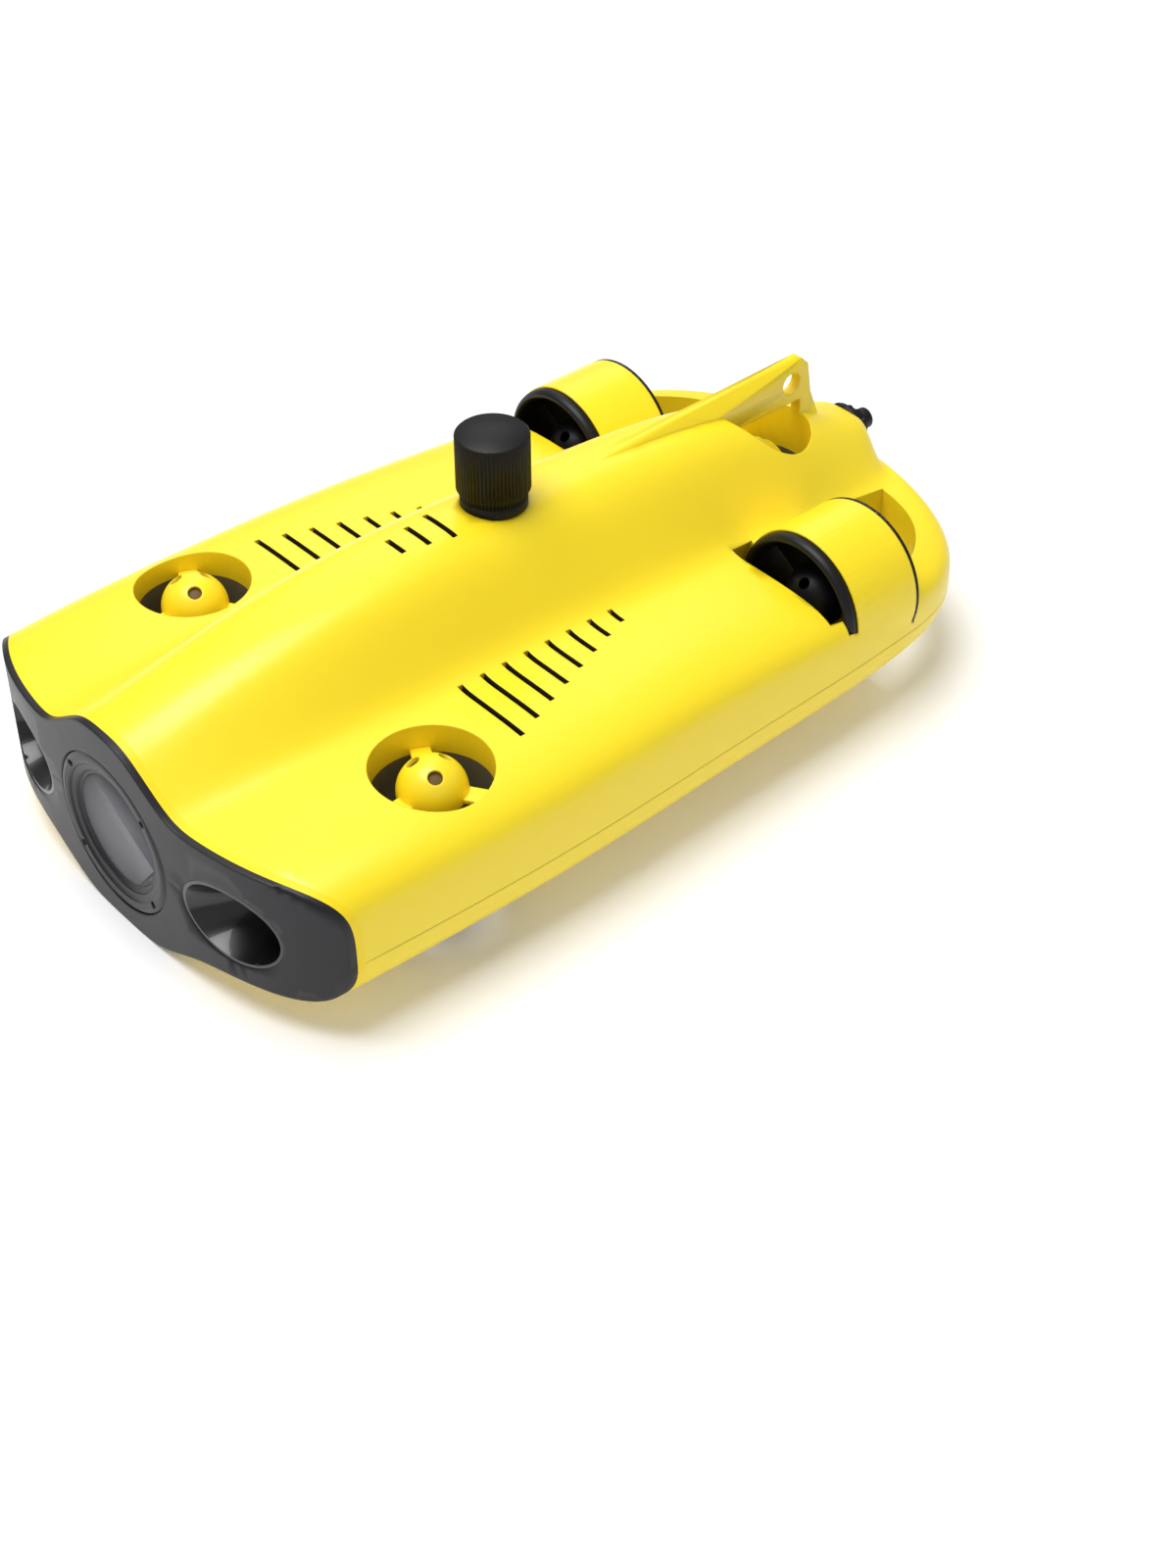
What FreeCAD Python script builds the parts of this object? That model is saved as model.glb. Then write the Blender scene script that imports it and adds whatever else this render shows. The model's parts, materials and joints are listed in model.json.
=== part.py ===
"""Underwater inspection ROV: a five-thruster hull with a nose camera, built as an assembly.

Model axes: the nose points along -Y, port is +X and up is +Z.  Lengths along the hull are
written from the tip of the nose, and every piece is shifted at export so that the origin
lies at the middle of the footprint, on the surface that the keel rests on.
"""
import FreeCAD, Part
import math
import os

V = FreeCAD.Vector
X, Y, Z = V(1, 0, 0), V(0, 1, 0), V(0, 0, 1)

# ---------------------------------------------------------------- driving sizes, mm
HULL_LENGTH = 385.0
HULL_WIDTH = 225.0
RIDGE_HEIGHT = 108.0          # top of the middle spine above the keel
DECK_HEIGHT = 72.0            # the two side decks
LOBE_HEIGHT = 16.0            # underside of the side lobes
SEAM_HEIGHT = 36.0            # joint between the upper and lower shells
WALL = 2.4                    # moulded wall of both shells
FIT = 0.2                     # clearance between pieces that are assembled
RUNNING = 0.05                # radial clearance of a shaft in its bearing

# Nose panel
FASCIA_DEPTH = 6.0
NOSE_BOW = 5.3                # even bow of the nose in plan
NOSE_CORNER = 23.1            # extra sweep towards the corners
CAMERA_HEIGHT = 42.4
WINDOW_RADIUS = 23.0
WINDOW_THICKNESS = 3.0
WINDOW_SETBACK = 2.8
BEZEL_RADIUS = 33.5
BEZEL_DEPTH = 8.5
CAMERA_BARREL_RADIUS = 15.0
CAMERA_HOUSING_RADIUS = 24.0
CAMERA_HOUSING_LENGTH = 18.0
LIGHT_OFFSET = 69.0           # lamp centre from the middle plane
LIGHT_HEIGHT = 40.0
LIGHT_HALF_WIDTH = 22.5
LIGHT_HALF_HEIGHT = 15.5
LIGHT_THROAT = 8.5            # radius at the bottom of the reflector
LIGHT_THROAT_OVAL = 0.4       # extra half width there
LIGHT_DEPTH = 25.0
REFLECTOR_WALL = 1.4
REFLECTOR_THROAT_LENGTH = 7.0
LENS_THICKNESS = 2.0
EMITTER_THICKNESS = 3.0

# Upright thruster ducts
DUCT_RADIUS = 23.3
FRONT_DUCT_OFFSET = 75.5
FRONT_DUCT_SETBACK = 91.0     # from the nose
REAR_DUCT_SETBACK = 57.0      # from the tail
UPRIGHT_PROP_HEIGHT = 44.0

# Horizontal thrusters in their nacelles
NACELLE_OFFSET = 73.5
NACELLE_HEIGHT = 51.0
NACELLE_RADIUS = 31.6
NACELLE_LENGTH = 33.5
NACELLE_SETBACK = 101.0       # front edge of the yellow barrel, from the tail
LIP_LENGTH = 5.0
RING_LENGTH = 1.5
NOZZLE_WALL = 2.0
NOZZLE_PROP_SETBACK = 26.0    # propeller plane, behind the front edge of the barrel
NOZZLE_STRUT_WIDTH = 11.0
SCOOP_RADIUS = 31.0
SCOOP_INSET = 3.0             # the scoop in front of the inlet lies this much further inboard
SCOOP_LENGTH = 12.0

# Thruster internals, the same in all five
GUARD_RADIUS = 13.5
GUARD_WALL = 1.5
GUARD_RISE = 16.7             # dome centre above the propeller plane
GUARD_SKIRT = 4.0             # straight wall below the dome
STRUT_WIDTH = 7.0
STRUT_THICKNESS = 2.2
STRUT_ANGLE = 28.0
STRUT_COUNT = 3
VENT_RADIUS = 2.5
VENT_TILT = 45.0
MOTOR_BASE = 3.6
STATOR_GAP = 0.8              # between the stator and the bell
STATOR_LENGTH = 14.4
BELL_RADIUS = 11.0
BELL_WALL = 1.4
BELL_FLOOR = 2.5
BELL_DROP = 5.0               # bottom of the bell below the propeller plane
BELL_TOP_GAP = 0.4
SHAFT_RADIUS = 1.5
BLADE_COUNT = 3
BLADE_TIP_GAP = 1.0
BLADE_CHORD = 15.0
BLADE_THICKNESS = 1.5
BLADE_PITCH_ROOT = 52.0
BLADE_PITCH_TIP = 24.0
PROP_HUB_WALL = 1.6
PROP_HUB_LENGTH = 12.0
OUTLET_GUARD_HEIGHT = 21.0
OUTLET_HUB_RADIUS = 8.0
OUTLET_RIM = 1.6
OUTLET_DEPTH = 3.0
OUTLET_STRUT_WIDTH = 3.0

# Loops behind the nacelles
LOOP_BAND = 14.0              # width of the band that wraps round to the tail
LOOP_FIRST_STATION = 0.78     # stations behind this share bound the loop
LOOP_CORNER = 6.0             # its outline keeps this far from its straight sides
LOOP_SIDE_SHARE = 0.93        # half width of the tail beside the nacelle
LOOP_END_RUN = 1.5
LOOP_INBOARD = 40.0           # inner side of the opening, from the middle plane

# Cooling slits
SLIT_COUNT = 8
SLIT_PITCH = 10.7
SLIT_WIDTH = 2.3
SLIT_FIRST = 127.5
SLIT_INNER = 47.0
SLIT_LONGEST = 36.5
SLIT_SHORTEST = 8.0
RIDGE_SLIT_COUNT = 3
RIDGE_SLIT_FIRST = 136.0
SLIT_FLOOR_RISE = 8.0         # the cutters start this far above the seam
RIDGE_SLIT_DEPTH = 12.0       # and this far below the ridge
RIDGE_SLIT_OVER = 5.0
RIDGE_SLIT_SHORTEST = 10.6
RIDGE_SLIT_LONGEST = 19.2

# Fin
FIN_START = 222.0
FIN_HEIGHT = 106.5
FIN_THICKNESS = 5.0
FIN_TIP_SETBACK = 30.0        # upper rear corner, from the tail
FIN_FOOT_SETBACK = 21.0       # foot of the rear edge, from the tail
FIN_EYE_RADIUS = 5.0
FIN_EYE_SETBACK = 39.5
FIN_EYE_DROP = 10.2           # eye centre below the top edge
FIN_ROOT_SHARE = 0.60         # height of its root, as a share of the ridge
FIN_ROOT_REACH = 55.0         # start of the root line, behind the start of the fin
FIN_ROOT_DEPTH = 6.0          # front corner below the top line
FIN_CREST_DROP = 2.5
FIN_CREST_REACH = 60.0        # where the top line straightens, behind the start
FIN_MID_DROP = 1.0
FIN_TOP_RUN = 4.0             # from the highest point to the tip
FIN_TOP_RISE = 0.5
FIN_TIP_DROP = 3.5
FIN_REAR_RUN = 2.5            # slope of the rear edge below the tip
FIN_REAR_DROP = 18.0
FIN_FOOT_RISE = 8.0           # rear foot above the root line
FIN_BRIDGE_HEIGHT = 87.0      # underside of the fin over the rear duct

# Pressure hull
TUBE_RADIUS = 36.0
TUBE_WALL = 3.0
TUBE_HEIGHT = 44.0
TUBE_START = 42.0             # from the nose
TUBE_TAIL_SETBACK = 117.0     # rear end, from the tail
END_CAP_THICKNESS = 8.0
END_CAP_PLUG = 12.0           # spigot that enters the tube
SEAL_WIDTH = 2.4
SADDLE_COUNT = 4
SADDLE_THICKNESS = 3.0
SADDLE_FIRST = 62.0
SADDLE_PITCH = 60.0
BATTERY_LENGTH = 120.0
BATTERY_WIDTH = 44.0
BATTERY_HEIGHT = 36.0
BOARD_LENGTH = 70.0
BOARD_THICKNESS = 8.0
BALLAST_SIZE = 9.0
BALLAST_OFFSET = 31.0
BALLAST_HEIGHT = 15.0

# Service port with its screw cap
PORT_SETBACK = 184.3
PORT_BORE = 6.0
NECK_STEM_RADIUS = 9.0
NECK_RADIUS = 13.4
NECK_SEAT = 106.6             # underside of the collar
NECK_BAND = 4.4
SPIGOT_RADIUS = 10.0
SPIGOT_LENGTH = 14.0
CAP_RADIUS = 14.7
CAP_LENGTH = 23.9
CAP_SKIRT = 3.0
CAP_GAP = 0.15                # between the collar and the closed cap
CAP_RIBS = 60
RIB_DEPTH = 0.5
CAP_CHAMFER = 0.8
GASKET_THICKNESS = 2.0

# Tether connector
TETHER_HEIGHT = 58.0
TETHER_SEAT_DEPTH = 3.0       # the seat is let this far into the tail
TETHER_FLANGE_RADIUS = 11.5
TETHER_FLANGE_THICKNESS = 2.5
TETHER_SHANK_RADIUS = 7.0
TETHER_SHANK_LENGTH = 22.0
TETHER_BOSS_WALL = 3.0
TETHER_CORE_RADIUS = 4.75
TETHER_GROOVE_RADIUS = 4.2
TETHER_RING_RADIUS = 8.5
TETHER_RING_LENGTH = 5.0
TETHER_RING_LOBES = 6
TETHER_REACH = 12.0           # beyond the tail

# Underside accessory insert
INSERT_RADIUS = 6.0
INSERT_BORE = 3.175           # major radius of a quarter-inch screw
INSERT_LENGTH = 6.6
INSERT_SETBACK = 150.0
INSERT_BOSS_WALL = 3.0

# ---------------------------------------------------------------- worked out
OVERALL_LENGTH = HULL_LENGTH + TETHER_REACH
HALF = HULL_WIDTH / 2.0
NACELLE_Y = HULL_LENGTH - NACELLE_SETBACK
NACELLE_END = NACELLE_Y + NACELLE_LENGTH
REAR_DUCT_Y = HULL_LENGTH - REAR_DUCT_SETBACK
NOZZLE_OUTER = NACELLE_RADIUS - WALL
NOZZLE_INNER = NOZZLE_OUTER - FIT - NOZZLE_WALL
NOZZLE_PROP_Y = NACELLE_Y + NOZZLE_PROP_SETBACK
LIP_RADIUS = NACELLE_RADIUS - 3 * FIT
STATOR_RADIUS = BELL_RADIUS - BELL_WALL - STATOR_GAP
NECK_TOP = NECK_SEAT + NECK_BAND
TUBE_END = HULL_LENGTH - TUBE_TAIL_SETBACK
TETHER_SEAT_Y = HULL_LENGTH - TETHER_SEAT_DEPTH
LIGHT_FACE_Y = NOSE_BOW * (LIGHT_OFFSET / HALF) ** 2 + NOSE_CORNER * (LIGHT_OFFSET / HALF) ** 4
LIGHT_THROAT_Y = LIGHT_FACE_Y + LIGHT_DEPTH
TALL = 4.0 * RIDGE_HEIGHT     # longer than anything that it cuts

# Hull stations, as shares of the driving sizes:
# place along the length, half width, ridge, deck, lobe, keel, crest, foot and valley poles
STATIONS = (
    (0.000, 0.955, 0.830, 0.980, 1.00, 0.00, 0.135, 0.34, 0.46),
    (0.065, 0.975, 0.865, 0.985, 1.00, 0.00, 0.140, 0.34, 0.46),
    (0.155, 0.990, 0.930, 1.000, 1.00, 0.00, 0.165, 0.35, 0.47),
    (0.280, 1.000, 0.985, 1.000, 1.00, 0.00, 0.185, 0.36, 0.48),
    (0.390, 0.995, 1.000, 1.000, 1.00, 0.00, 0.190, 0.36, 0.48),
    (0.520, 0.975, 0.985, 0.985, 1.00, 0.00, 0.185, 0.36, 0.48),
    (0.620, 0.960, 0.965, 0.950, 1.00, 0.00, 0.175, 0.36, 0.48),
    (0.700, 0.950, 0.945, 0.910, 1.02, 0.00, 0.170, 0.35, 0.47),
    (0.800, 0.930, 0.885, 0.830, 1.10, 0.05, 0.165, 0.34, 0.45),
    (0.885, 0.877, 0.787, 0.765, 1.35, 0.35, 0.155, 0.33, 0.44),
    (0.940, 0.750, 0.704, 0.740, 1.50, 0.85, 0.145, 0.30, 0.41),
    (0.972, 0.585, 0.662, 0.730, 1.60, 1.20, 0.135, 0.26, 0.35),
    (0.9935, 0.337, 0.632, 0.725, 1.66, 1.45, 0.120, 0.19, 0.24),
    (1.000, 0.178, 0.615, 0.720, 1.70, 1.60, 0.100, 0.13, 0.15),
)


# ---------------------------------------------------------------- helpers
def save(name, shape):
    """Write one piece, moved so that the origin is under the middle of the craft."""
    os.makedirs("parts", exist_ok=True)
    piece = shape.copy()
    piece.translate(V(0, -OVERALL_LENGTH / 2.0, 0))
    if not piece.isValid() or len(piece.Solids) != 1:
        print("CHECK", name, "valid", piece.isValid(), "solids", len(piece.Solids))
    piece.exportStep("parts/" + name + ".step")


def solid_of(shape):
    """The largest solid of a shape, with needless edges removed."""
    solids = sorted(shape.Solids, key=lambda s: s.Volume)
    return solids[-1]


def cylinder(radius, length, base, axis=Z):
    return Part.makeCylinder(radius, length, base, axis)


def tube(outer, inner, length, base, axis=Z):
    return cylinder(outer, length, base, axis).cut(cylinder(inner, length, base, axis))


def box(x0, x1, y0, y1, z0, z1):
    return Part.makeBox(x1 - x0, y1 - y0, z1 - z0, V(x0, y0, z0))


def revolve(points):
    """Solid of revolution about Z through (radius, height) points."""
    wire = Part.makePolygon([V(r, 0, z) for r, z in points + points[:1]])
    return Part.Face(wire).revolve(V(0, 0, 0), Z, 360)


def place(shape, x, y, z):
    """Put an upright piece at its place."""
    out = shape.copy()
    out.translate(V(x, y, z))
    return out


def lay_down(shape, x, y, z):
    """Turn a piece whose inlet faces +Z so that the inlet faces the nose."""
    out = shape.copy()
    out.rotate(V(0, 0, 0), X, 90)
    out.translate(V(x, y, z))
    return out


def mirror_x(shape):
    return shape.mirror(V(0, 0, 0), X)


# ---------------------------------------------------------------- hull surfaces
def spline_wire(half, y):
    """Smooth curve through the poles of one half section and their mirror images, closed by
    a straight line along the seam."""
    right = [V(x, y, z) for x, z in half]
    left = [V(-x, y, z) for x, z in reversed(half[:-1])]
    curve = Part.BSplineCurve()
    curve.buildFromPoles(right + left, False, 3)
    seam = Part.LineSegment(left[-1], right[0])
    return Part.Wire([curve.toShape(), seam.toShape()])


def upper_section(row, inset):
    at, half_width, ridge, deck, lobe, keel, crest, foot, valley = row
    w = half_width * HALF - inset
    deck_z = deck * DECK_HEIGHT - inset
    ridge_z = ridge * RIDGE_HEIGHT - inset
    rise = deck_z - SEAM_HEIGHT
    half = [
        (w, SEAM_HEIGHT),
        (w, SEAM_HEIGHT + 0.35 * rise),
        (w, SEAM_HEIGHT + 0.72 * rise),
        (0.86 * w, deck_z),
        (valley * HALF, deck_z),
        (foot * HALF - inset / 2.0, deck_z),
        (crest * HALF - inset / 2.0, ridge_z),
        (0.0, ridge_z),
    ]
    return spline_wire(half, at * (HULL_LENGTH - inset))


def lower_section(row, inset):
    at, half_width, ridge, deck, lobe, keel, crest, foot, valley = row
    w = half_width * HALF - inset
    lobe_z = lobe * LOBE_HEIGHT + inset
    keel_z = keel * LOBE_HEIGHT + inset
    drop = lobe_z - keel_z
    half = [
        (w, SEAM_HEIGHT),
        (w, SEAM_HEIGHT - 0.5 * (SEAM_HEIGHT - lobe_z)),
        (0.935 * w, lobe_z),
        (0.72 * w, lobe_z),
        (0.46 * w, keel_z + 0.87 * drop),
        (0.26 * w, keel_z + 0.16 * drop),
        (0.14 * w, keel_z),
        (0.0, keel_z),
    ]
    return spline_wire(half, at * (HULL_LENGTH - inset))


def hull_half(section, inset):
    return Part.makeLoft([section(row, inset) for row in STATIONS], True, False)


def nose_curve_y(x):
    share = x / HALF
    return NOSE_BOW * share ** 2 + NOSE_CORNER * share ** 4


def nose_front(depth):
    """Everything ahead of the nose face moved back by a depth."""
    steps = 6
    reach = 1.04 * HALF
    points = [V(reach * i / steps, nose_curve_y(reach * i / steps) + depth, -10)
              for i in range(-steps, steps + 1)]
    curve = Part.BSplineCurve()
    curve.interpolate(points)
    front = -20.0
    a, b = V(points[-1].x, front, -10), V(points[0].x, front, -10)
    wire = Part.Wire([
        curve.toShape(),
        Part.makeLine(points[-1], a),
        Part.makeLine(a, b),
        Part.makeLine(b, points[0]),
    ])
    return Part.Face(wire).extrude(V(0, 0, RIDGE_HEIGHT + 20))


def lobe_outline(grow):
    """Plan of the opening behind the port nacelle: straight inboard and in front, and round
    behind, at an even band width inside the outline of the tail."""
    front = NACELLE_END - grow
    inboard = LOOP_INBOARD - grow
    outer = [(row[1] * HALF, row[0] * HULL_LENGTH) for row in STATIONS if row[0] > LOOP_FIRST_STATION]
    inner = []
    for (xa, ya), (xb, yb) in zip(outer, outer[1:]):
        run = math.hypot(xb - xa, yb - ya)
        nx, ny = (yb - ya) / run, -(xb - xa) / run
        band = LOOP_BAND - grow
        mx, my = (xa + xb) / 2.0 - nx * band, (ya + yb) / 2.0 - ny * band
        if mx > inboard + LOOP_CORNER and my > front + LOOP_CORNER:
            inner.append(V(mx, my, -10))
    return front, inboard, inner


def loop_prism(grow):
    """The opening behind the port nacelle, grown all round by a wall."""
    front, inboard, inner = lobe_outline(grow)
    outer_x = HALF * LOOP_SIDE_SHARE - LOOP_BAND + grow
    start = V(outer_x, front, -10)
    end = V(inboard, inner[-1].y + LOOP_END_RUN, -10)
    curve = Part.BSplineCurve()
    curve.interpolate([start] + inner + [end])
    corner = V(inboard, front, -10)
    wire = Part.Wire([
        curve.toShape(),
        Part.makeLine(end, corner),
        Part.makeLine(corner, start),
    ])
    return Part.Face(wire).extrude(V(0, 0, TALL / 2.0))


def both(shape):
    return [shape, mirror_x(shape)]


def duct_places():
    return [
        (FRONT_DUCT_OFFSET, FRONT_DUCT_SETBACK),
        (-FRONT_DUCT_OFFSET, FRONT_DUCT_SETBACK),
        (0.0, REAR_DUCT_Y),
    ]


def scoop(grow):
    centre = V(NACELLE_OFFSET - SCOOP_INSET, NACELLE_Y - SCOOP_LENGTH - grow, NACELLE_HEIGHT)
    return cylinder(SCOOP_RADIUS + grow, SCOOP_LENGTH + 2 * grow, centre, Y)


def hull_openings(grow):
    """Ducts, nacelle bores, scoops and loops, each grown by a wall thickness."""
    found = [cylinder(DUCT_RADIUS + grow, TALL, V(x, y, -TALL / 2.0)) for x, y in duct_places()]
    bore = cylinder(NOZZLE_OUTER + grow, NACELLE_LENGTH + 2.0 + grow,
                    V(NACELLE_OFFSET, NACELLE_Y - 1.0, NACELLE_HEIGHT), Y)
    lip = cylinder(LIP_RADIUS + FIT + grow, LIP_LENGTH + FIT + grow,
                   V(NACELLE_OFFSET, NACELLE_Y - LIP_LENGTH - FIT - grow, NACELLE_HEIGHT), Y)
    ring = cylinder(NACELLE_RADIUS + FIT + grow, RING_LENGTH + FIT + grow,
                    V(NACELLE_OFFSET, NACELLE_END, NACELLE_HEIGHT), Y)
    for piece in (bore, scoop(grow), loop_prism(grow), lip, ring):
        found += both(piece)
    return found


def slits():
    cuts = []
    for i in range(SLIT_COUNT):
        share = i / (SLIT_COUNT - 1.0)
        length = SLIT_LONGEST + (SLIT_SHORTEST - SLIT_LONGEST) * share
        y = SLIT_FIRST + SLIT_PITCH * i
        cut = box(SLIT_INNER, SLIT_INNER + length, y - SLIT_WIDTH / 2, y + SLIT_WIDTH / 2,
                  SEAM_HEIGHT + SLIT_FLOOR_RISE, RIDGE_HEIGHT)
        cuts += both(cut)
    for i in range(RIDGE_SLIT_COUNT):
        share = i / (RIDGE_SLIT_COUNT - 1.0)
        length = RIDGE_SLIT_SHORTEST + (RIDGE_SLIT_LONGEST - RIDGE_SLIT_SHORTEST) * share
        y = RIDGE_SLIT_FIRST + SLIT_PITCH * i
        cuts.append(box(-length / 2, length / 2, y - SLIT_WIDTH / 2, y + SLIT_WIDTH / 2,
                        RIDGE_HEIGHT - RIDGE_SLIT_DEPTH, RIDGE_HEIGHT + RIDGE_SLIT_OVER))
    return cuts


def fin():
    """Upright plate over the tail, with the towing eye and an arch over the rear duct."""
    tip_y = HULL_LENGTH - FIN_TIP_SETBACK
    foot_y = HULL_LENGTH - FIN_FOOT_SETBACK
    rear_z = FIN_ROOT_SHARE * RIDGE_HEIGHT
    outline = [
        V(0, FIN_START, FIN_HEIGHT - FIN_ROOT_DEPTH),
        V(0, FIN_START, FIN_HEIGHT - FIN_CREST_DROP),
        V(0, FIN_START + FIN_CREST_REACH, FIN_HEIGHT - FIN_MID_DROP),
        V(0, tip_y - FIN_TOP_RUN, FIN_HEIGHT + FIN_TOP_RISE),
        V(0, tip_y, FIN_HEIGHT - FIN_TIP_DROP),
        V(0, tip_y + FIN_REAR_RUN, FIN_HEIGHT - FIN_REAR_DROP),
        V(0, foot_y, rear_z + FIN_FOOT_RISE),
        V(0, foot_y, rear_z),
        V(0, FIN_START + FIN_ROOT_REACH, rear_z),
    ]
    plate = Part.Face(Part.makePolygon(outline + outline[:1])).extrude(V(FIN_THICKNESS, 0, 0))
    plate.translate(V(-FIN_THICKNESS / 2.0, 0, 0))
    eye = cylinder(FIN_EYE_RADIUS, 4 * FIN_THICKNESS,
                   V(-2 * FIN_THICKNESS, HULL_LENGTH - FIN_EYE_SETBACK, FIN_HEIGHT - FIN_EYE_DROP), X)
    arch = cylinder(DUCT_RADIUS, FIN_BRIDGE_HEIGHT, V(0, REAR_DUCT_Y, 0))
    return plate.cut([eye, arch])


def saddles():
    """Ribs across the hull that cradle the pressure tube, with notches for the ballast."""
    blank = []
    for i in range(SADDLE_COUNT):
        y = SADDLE_FIRST + SADDLE_PITCH * i
        blank.append(box(-BALLAST_OFFSET - 12, BALLAST_OFFSET + 12, y, y + SADDLE_THICKNESS,
                         0, RIDGE_HEIGHT))
    seat = cylinder(TUBE_RADIUS + FIT, TALL, V(0, -50, TUBE_HEIGHT), Y)
    return Part.makeCompound(blank).cut([seat] + [ballast_bar(s, FIT) for s in (1, -1)])


def ballast_bar(side, grow=0.0):
    half = BALLAST_SIZE / 2.0 + grow
    x = side * BALLAST_OFFSET
    end = SADDLE_FIRST + SADDLE_PITCH * (SADDLE_COUNT - 1) + SADDLE_THICKNESS
    return box(x - half, x + half, SADDLE_FIRST - 2 - grow, end + 2 + grow,
               BALLAST_HEIGHT - half, BALLAST_HEIGHT + half)


def shells():
    """Upper and lower shells with ducts, nacelles, loops, saddles and fin, and the solid
    blanks that they were hollowed from."""
    walls = hull_openings(WALL)
    openings = hull_openings(0.0)
    nacelles = both(cylinder(NACELLE_RADIUS, NACELLE_LENGTH,
                             V(NACELLE_OFFSET, NACELLE_Y, NACELLE_HEIGHT), Y))
    above = box(-HALF * 2, HALF * 2, -50, HULL_LENGTH + 50, SEAM_HEIGHT, TALL)
    below = box(-HALF * 2, HALF * 2, -50, HULL_LENGTH + 50, -TALL, SEAM_HEIGHT)
    nose = nose_front(FASCIA_DEPTH)
    ribs = saddles()
    made, blanks, hollows = [], [], []
    for section, region in ((upper_section, above), (lower_section, below)):
        outer = hull_half(section, 0.0)
        hollow = hull_half(section, WALL).cut(walls)
        inside = ribs.common(hollow)
        barrels = [n.common(region) for n in nacelles]
        skin = outer.fuse(barrels).cut([hollow] + openings + [nose])
        made.append(skin.fuse(inside.Solids))
        blanks.append(outer)
        hollows.append(hollow)
    made[0] = made[0].fuse(fin().cut(hollows[0]))
    return made[0], made[1], blanks


def upper_shell(skin):
    boss_y = TETHER_SEAT_Y - TETHER_SHANK_LENGTH
    boss = cylinder(TETHER_SHANK_RADIUS + FIT + TETHER_BOSS_WALL, TETHER_SHANK_LENGTH,
                    V(0, boss_y, TETHER_HEIGHT), Y)
    seat = cylinder(TETHER_FLANGE_RADIUS + FIT, TALL, V(0, TETHER_SEAT_Y, TETHER_HEIGHT), Y)
    bore = cylinder(TETHER_SHANK_RADIUS + FIT, TALL, V(0, boss_y - 1, TETHER_HEIGHT), Y)
    stem = cylinder(NECK_STEM_RADIUS + FIT, TALL, V(0, PORT_SETBACK, TUBE_HEIGHT))
    collar = cylinder(NECK_RADIUS + FIT, TALL, V(0, PORT_SETBACK, NECK_SEAT))
    body = skin.fuse(boss)
    return solid_of(body.cut(slits() + [seat, bore, stem, collar]))


def lower_shell(skin):
    base = V(0, INSERT_SETBACK, 0)
    boss = cylinder(INSERT_RADIUS + INSERT_BOSS_WALL, INSERT_LENGTH, base)
    hole = cylinder(INSERT_RADIUS, INSERT_LENGTH + 1, V(0, INSERT_SETBACK, -0.5))
    return solid_of(skin.fuse(boss).cut(hole))


# ---------------------------------------------------------------- nose
def lamp_rim(y, grow):
    """Oval section of a lamp's cup, which tapers from the nose face to the throat."""
    share = (LIGHT_THROAT_Y - y) / LIGHT_DEPTH
    narrow = LIGHT_THROAT + LIGHT_THROAT_OVAL
    a = narrow + (LIGHT_HALF_WIDTH - narrow) * share + grow
    b = LIGHT_THROAT + (LIGHT_HALF_HEIGHT - LIGHT_THROAT) * share + grow
    centre = V(LIGHT_OFFSET, y, LIGHT_HEIGHT)
    edge = Part.Ellipse(centre + V(a, 0, 0), centre + V(0, 0, b), centre).toShape()
    return Part.Wire([edge])


def light_cup(grow):
    """The cup from ahead of the nose face back to the throat."""
    return Part.makeLoft([lamp_rim(-4.0, grow), lamp_rim(LIGHT_THROAT_Y, grow)], True, True)


def throat(grow, y0, y1):
    """Straight oval stretch behind the cup."""
    face = Part.Face(lamp_rim(LIGHT_THROAT_Y, grow))
    face.translate(V(0, y0 - LIGHT_THROAT_Y, 0))
    return face.extrude(V(0, y1 - y0, 0))


def front_fascia(blanks):
    """Curved dark nose panel with the camera and lamp openings."""
    slab = nose_front(FASCIA_DEPTH).cut(nose_front(0.0))
    panel = blanks[0].fuse(blanks[1]).common(slab).removeSplitter()
    window = cylinder(BEZEL_RADIUS + FIT, 60, V(0, -10, CAMERA_HEIGHT), Y)
    cups = both(light_cup(REFLECTOR_WALL + FIT))
    return solid_of(panel.cut([window] + cups))


def light_reflector():
    end = LIGHT_THROAT_Y + REFLECTOR_THROAT_LENGTH
    body = light_cup(REFLECTOR_WALL).fuse(throat(REFLECTOR_WALL, LIGHT_THROAT_Y, end))
    hollow = light_cup(0.0).fuse(throat(0.0, LIGHT_THROAT_Y, end + 1))
    return solid_of(body.cut(hollow).cut(nose_front(0.4)))


def light_lens():
    start = LIGHT_THROAT_Y + 0.3
    return throat(-RUNNING, start, start + LENS_THICKNESS)


def light_emitter():
    start = LIGHT_THROAT_Y + 0.3 + LENS_THICKNESS + FIT
    plate = throat(-RUNNING, start + 1.0, start + EMITTER_THICKNESS)
    chip = box(LIGHT_OFFSET - 3.5, LIGHT_OFFSET + 3.5, start, start + 1.0,
               LIGHT_HEIGHT - 3.5, LIGHT_HEIGHT + 3.5)
    return plate.fuse(chip)


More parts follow.
